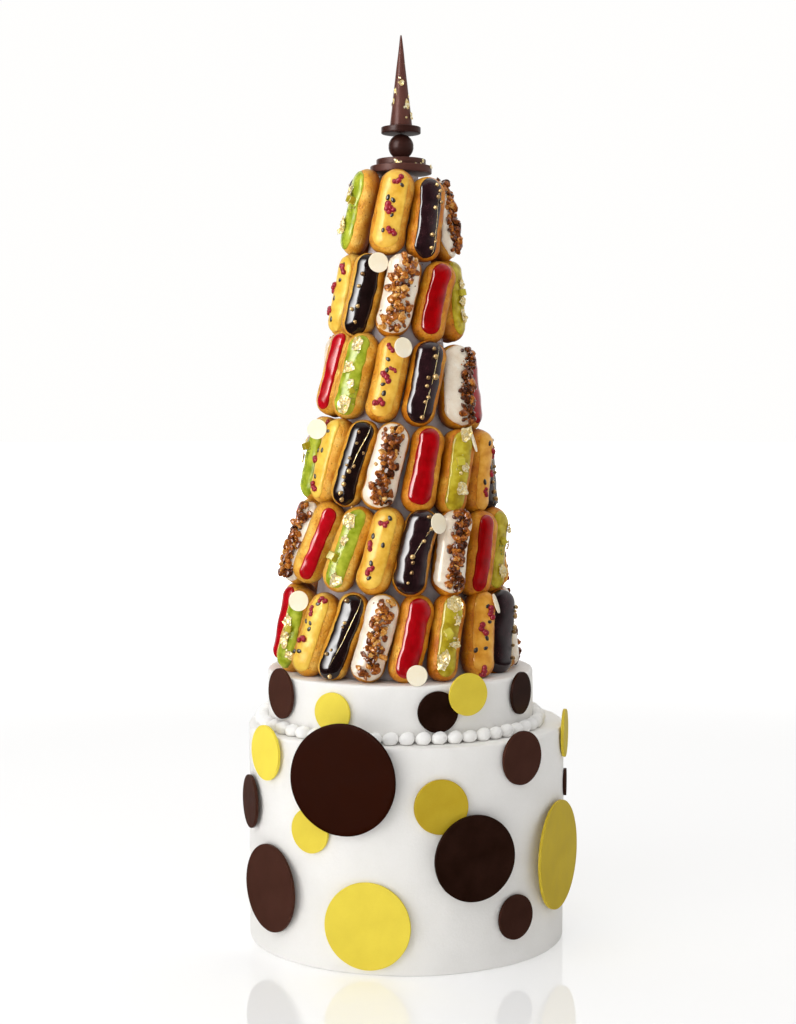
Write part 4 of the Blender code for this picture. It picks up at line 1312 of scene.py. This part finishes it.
# How pale each plaque is within its colour, where it differs from the middle. These tones are painted light and sheen
# on each plaque.
PLAQUE_SHEEN_TONES = {"upper_a": 0.62, "upper_c": 0.12, "upper_e": 0.22, "lower_g": 0.52, "lower_h": 0.50, "lower_j": 0.62, "lower_m": 0.15,
                "lower_n": 0.60, "lower_o": 0.42, "lower_q": 0.4, "upper_b": 0.85, "upper_d": 0.55, "lower_f": 0.95, "lower_i": 0.7,
                "lower_k": 0.80, "lower_l": 0.10, "lower_r": 0.26}
dabs = Heap()
for k, (name, level, az, z, radius, colour, off) in enumerate(PLAQUES):
    place = plaque_place(level, az, z, off)
    flat_disc("disc_" + name, radius, PLAQUE_T, WARM if name == "lower_h" else DARK if colour == "dark" else YELLOW, place, "plaque_" + name,
              "plaque_" + colour, 40 + 5 * k, sides=160 if radius > 0.03 else 112, tone=PLAQUE_SHEEN_TONES.get(name, 0.45))
    # the dab of icing that holds it to the curved wall
    wall = LOWER_R if level == 1 else UPPER_R
    v, f = BALLS[3]
    rad = min(0.45 * radius, 0.012)
    m = place @ Matrix.Translation((0, 0, -off / 2 - 0.0002)) @ Matrix.Diagonal((rad, rad, off / 2 + 0.0012, 1))
    dabs.add((v * (1 + 0.05 * lumps(v + k, 0.8, k))[:, None], f), m, 0.5)
dabs.build("plaque_dabs", ICING, (), "icing")


# ------------------------------------------------------------------ ivory discs
for k in range(1, 13):
    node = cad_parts["ivory_disc_%d" % k]
    co = np.array([v.co[:] for v in node.data.vertices])
    centre = co.mean(0)
    _, _, axes = np.linalg.svd(co - centre)
    n = Vector(axes[2])
    c = Vector(centre)
    if n.dot(c - Vector((TOWER_X, 0, c.z))) < 0:
        n = -n
    up = Vector((0, 0, 1))
    side = up.cross(n).normalized()
    m = Matrix((side, n.cross(side), n)).transposed().to_4x4()
    near = np.concatenate(SKIN) - centre
    deep = near @ np.array(n)
    near = near - np.outer(deep, np.array(n))
    under = deep[(np.linalg.norm(near, axis=1) < IVORY_R) & (np.abs(deep) < 0.006)]
    clear = max(0.0, under.max() + IVORY_T / 2 + 0.0001) if len(under) else 0.0
    m.translation = c + n * (min(clear, 0.0028) - IVORY_T / 2)
    flat_disc("ivory_plaque_%d" % k, IVORY_R, IVORY_T, IVORY, m, "ivory_disc_%d" % k, "ivory", 400 + k, edge=0.0003, sides=72)

SEEDS.build("passion_seeds", SEED)
BERRIES.build("raspberry_bits", BERRY)
NUTS.build("caramelised_nuts", NUT, sharp=32)
CRUMBS.build("nut_crumbs", NUT)
PEARLS.build("crisp_pearls", PEARL)
LEAVES.build("gold_leaf", GOLD, sharp=35)
CUBES.build("candied_cubes", CANDY)
BITS.build("pistachio_bits", PISTACHIO)

# ------------------------------------------------------------------ stage
floor_s = Shade("studio_floor", Roughness=0.03, Specular_IOR_Level=0.8)
floor_s.bsdf.inputs["Base Color"].default_value = (0.86, 0.86, 0.86, 1)
floor_s.bsdf.inputs["Emission Color"].default_value = (1, 1, 1, 1)
reach = floor_s.node("VectorMath", operation="LENGTH")
floor_s.link(floor_s.coord, reach.inputs[0])
floor_s.link(floor_s.span(reach.outputs["Value"], 1.1, 4.0, 0.22, 1.0, True), floor_s.bsdf.inputs["Emission Strength"])
floor_mesh = bpy.data.meshes.new("floor")
floor_mesh.from_pydata([(30 * math.cos(math.pi * k / 32), 30 * math.sin(math.pi * k / 32), 0) for k in range(64)], [], [tuple(range(64))])
floor_mesh.materials.append(floor_s.mat)
floor = bpy.data.objects.new("studio_floor", floor_mesh)
bpy.context.scene.collection.objects.link(floor)
floor.location.z = -0.0003
floor.visible_glossy = False


def area_light(name, az, el, distance, width, height, radiance, colour=(1, 1, 1), target=(0, 0, 0.45), diffuse=True, glossy=True):
    """Soft box of that radiance, facing the target from azimuth az and elevation el."""
    data = bpy.data.lights.new(name, "AREA")
    data.shape = "RECTANGLE"
    data.size, data.size_y = width, height
    data.energy = radiance * math.pi * width * height
    data.color = colour
    ob = bpy.data.objects.new(name, data)
    bpy.context.scene.collection.objects.link(ob)
    e = math.radians(el)
    p = Vector(target) + (outward(az) * math.cos(e) + Vector((0, 0, math.sin(e)))) * distance
    ob.location = p
    ob.rotation_euler = (Vector(target) - p).to_track_quat("-Z", "Y").to_euler()
    ob.visible_diffuse = diffuse
    ob.visible_glossy = glossy
    ob.visible_camera = False
    return ob


area_light("key", -52, 14, 1.9, 1.3, 1.9, 1.25, (1.0, 0.995, 0.985), glossy=False)
area_light("front_wash", -18, 30, 2.6, 1.2, 1.2, 1.5, glossy=False)
area_light("low_wash", -20, 3, 2.8, 2.0, 1.2, 0.65, glossy=False)
area_light("top", -20, 76, 2.0, 1.5, 1.5, 1.6, glossy=False)

# Studio surround. What gloss shows is a tall soft box to the left, a dark front,
# a dim right and a bright backdrop; matt surfaces get an even pale room.
world = bpy.data.worlds.new("studio")
bpy.context.scene.world = world
world.use_nodes = True
wt = world.node_tree
wt.nodes.clear()


def world_math(operation, a, b=0.0):
    n = wt.nodes.new("ShaderNodeMath")
    n.operation = operation
    for socket, value in zip(n.inputs, (a, b)):
        if isinstance(value, bpy.types.NodeSocket):
            wt.links.new(value, socket)
        else:
            socket.default_value = value
    return n.outputs[0]


def world_step(value, a, b, low=0.0, high=1.0):
    """Smooth step of the value from a to b."""
    n = wt.nodes.new("ShaderNodeMapRange")
    n.interpolation_type = "SMOOTHSTEP"
    for key, v in (("From Min", a), ("From Max", b), ("To Min", low), ("To Max", high)):
        n.inputs[key].default_value = v
    wt.links.new(value, n.inputs["Value"])
    return n.outputs["Result"]


def backdrop(strength):
    n = wt.nodes.new("ShaderNodeBackground")
    n.inputs["Color"].default_value = (1, 0.995, 0.985, 1)
    if isinstance(strength, bpy.types.NodeSocket):
        wt.links.new(strength, n.inputs["Strength"])
    else:
        n.inputs["Strength"].default_value = strength
    return n.outputs[0]


def blended(factor, a, b):
    n = wt.nodes.new("ShaderNodeMixShader")
    wt.links.new(factor, n.inputs["Fac"])
    wt.links.new(a, n.inputs[1])
    wt.links.new(b, n.inputs[2])
    return n.outputs[0]


split = wt.nodes.new("ShaderNodeSeparateXYZ")
wt.links.new(wt.nodes.new("ShaderNodeTexCoord").outputs["Generated"], split.inputs[0])
x, y, z = split.outputs
around = world_math("MULTIPLY", world_math("ARCTAN2", x, world_math("MULTIPLY", y, -1.0)), 180 / math.pi)
aside = world_math("ABSOLUTE", around)
fade = world_step(around, -112, -38)
box = world_math("MULTIPLY", world_math("POWER", fade, 3.0), world_step(around, -37, -32, 1.0, 0.0))
box = world_math("MULTIPLY", box, world_math("MULTIPLY", world_step(z, -0.22, 0.0), world_step(z, 0.62, 0.82, 1.0, 0.0)))
right = world_math("MULTIPLY", world_step(around, 24, 96), 0.7)
behind = world_step(aside, 118, 150)
above = world_math("MULTIPLY", world_step(z, 0.75, 0.95), 0.5)
upper = world_step(z, -0.25, 0.0, 0.1, 1.0)
gloss = world_math("ADD", world_math("MULTIPLY", box, 17.0), world_math("MULTIPLY", world_math("ADD", world_math("MAXIMUM", right, behind), above), upper))
gloss = world_math("ADD", gloss, 0.012)
matt = world_step(y, -0.6, 0.9, 0.31, 0.84)
lp = wt.nodes.new("ShaderNodeLightPath")
room = blended(lp.outputs["Is Glossy Ray"], backdrop(matt), backdrop(gloss))
wo = wt.nodes.new("ShaderNodeOutputWorld")
wt.links.new(blended(lp.outputs["Is Camera Ray"], room, backdrop(1.0)), wo.inputs["Surface"])

cam_data = bpy.data.cameras.new("camera")
cam_data.sensor_fit = "AUTO"
cam_data.sensor_width = 36.0
cam_data.lens = LENS
cam_data.clip_end = 50
cam = bpy.data.objects.new("camera", cam_data)
bpy.context.scene.collection.objects.link(cam)
cam.location = CAMERA
cam.rotation_euler = (math.radians(90 - CAMERA_DROP), 0, 0)
bpy.context.scene.camera = cam

view = bpy.context.scene.view_settings
view.view_transform = "Standard"
view.look = "None"
view.exposure = 0.0
view.gamma = 1.0
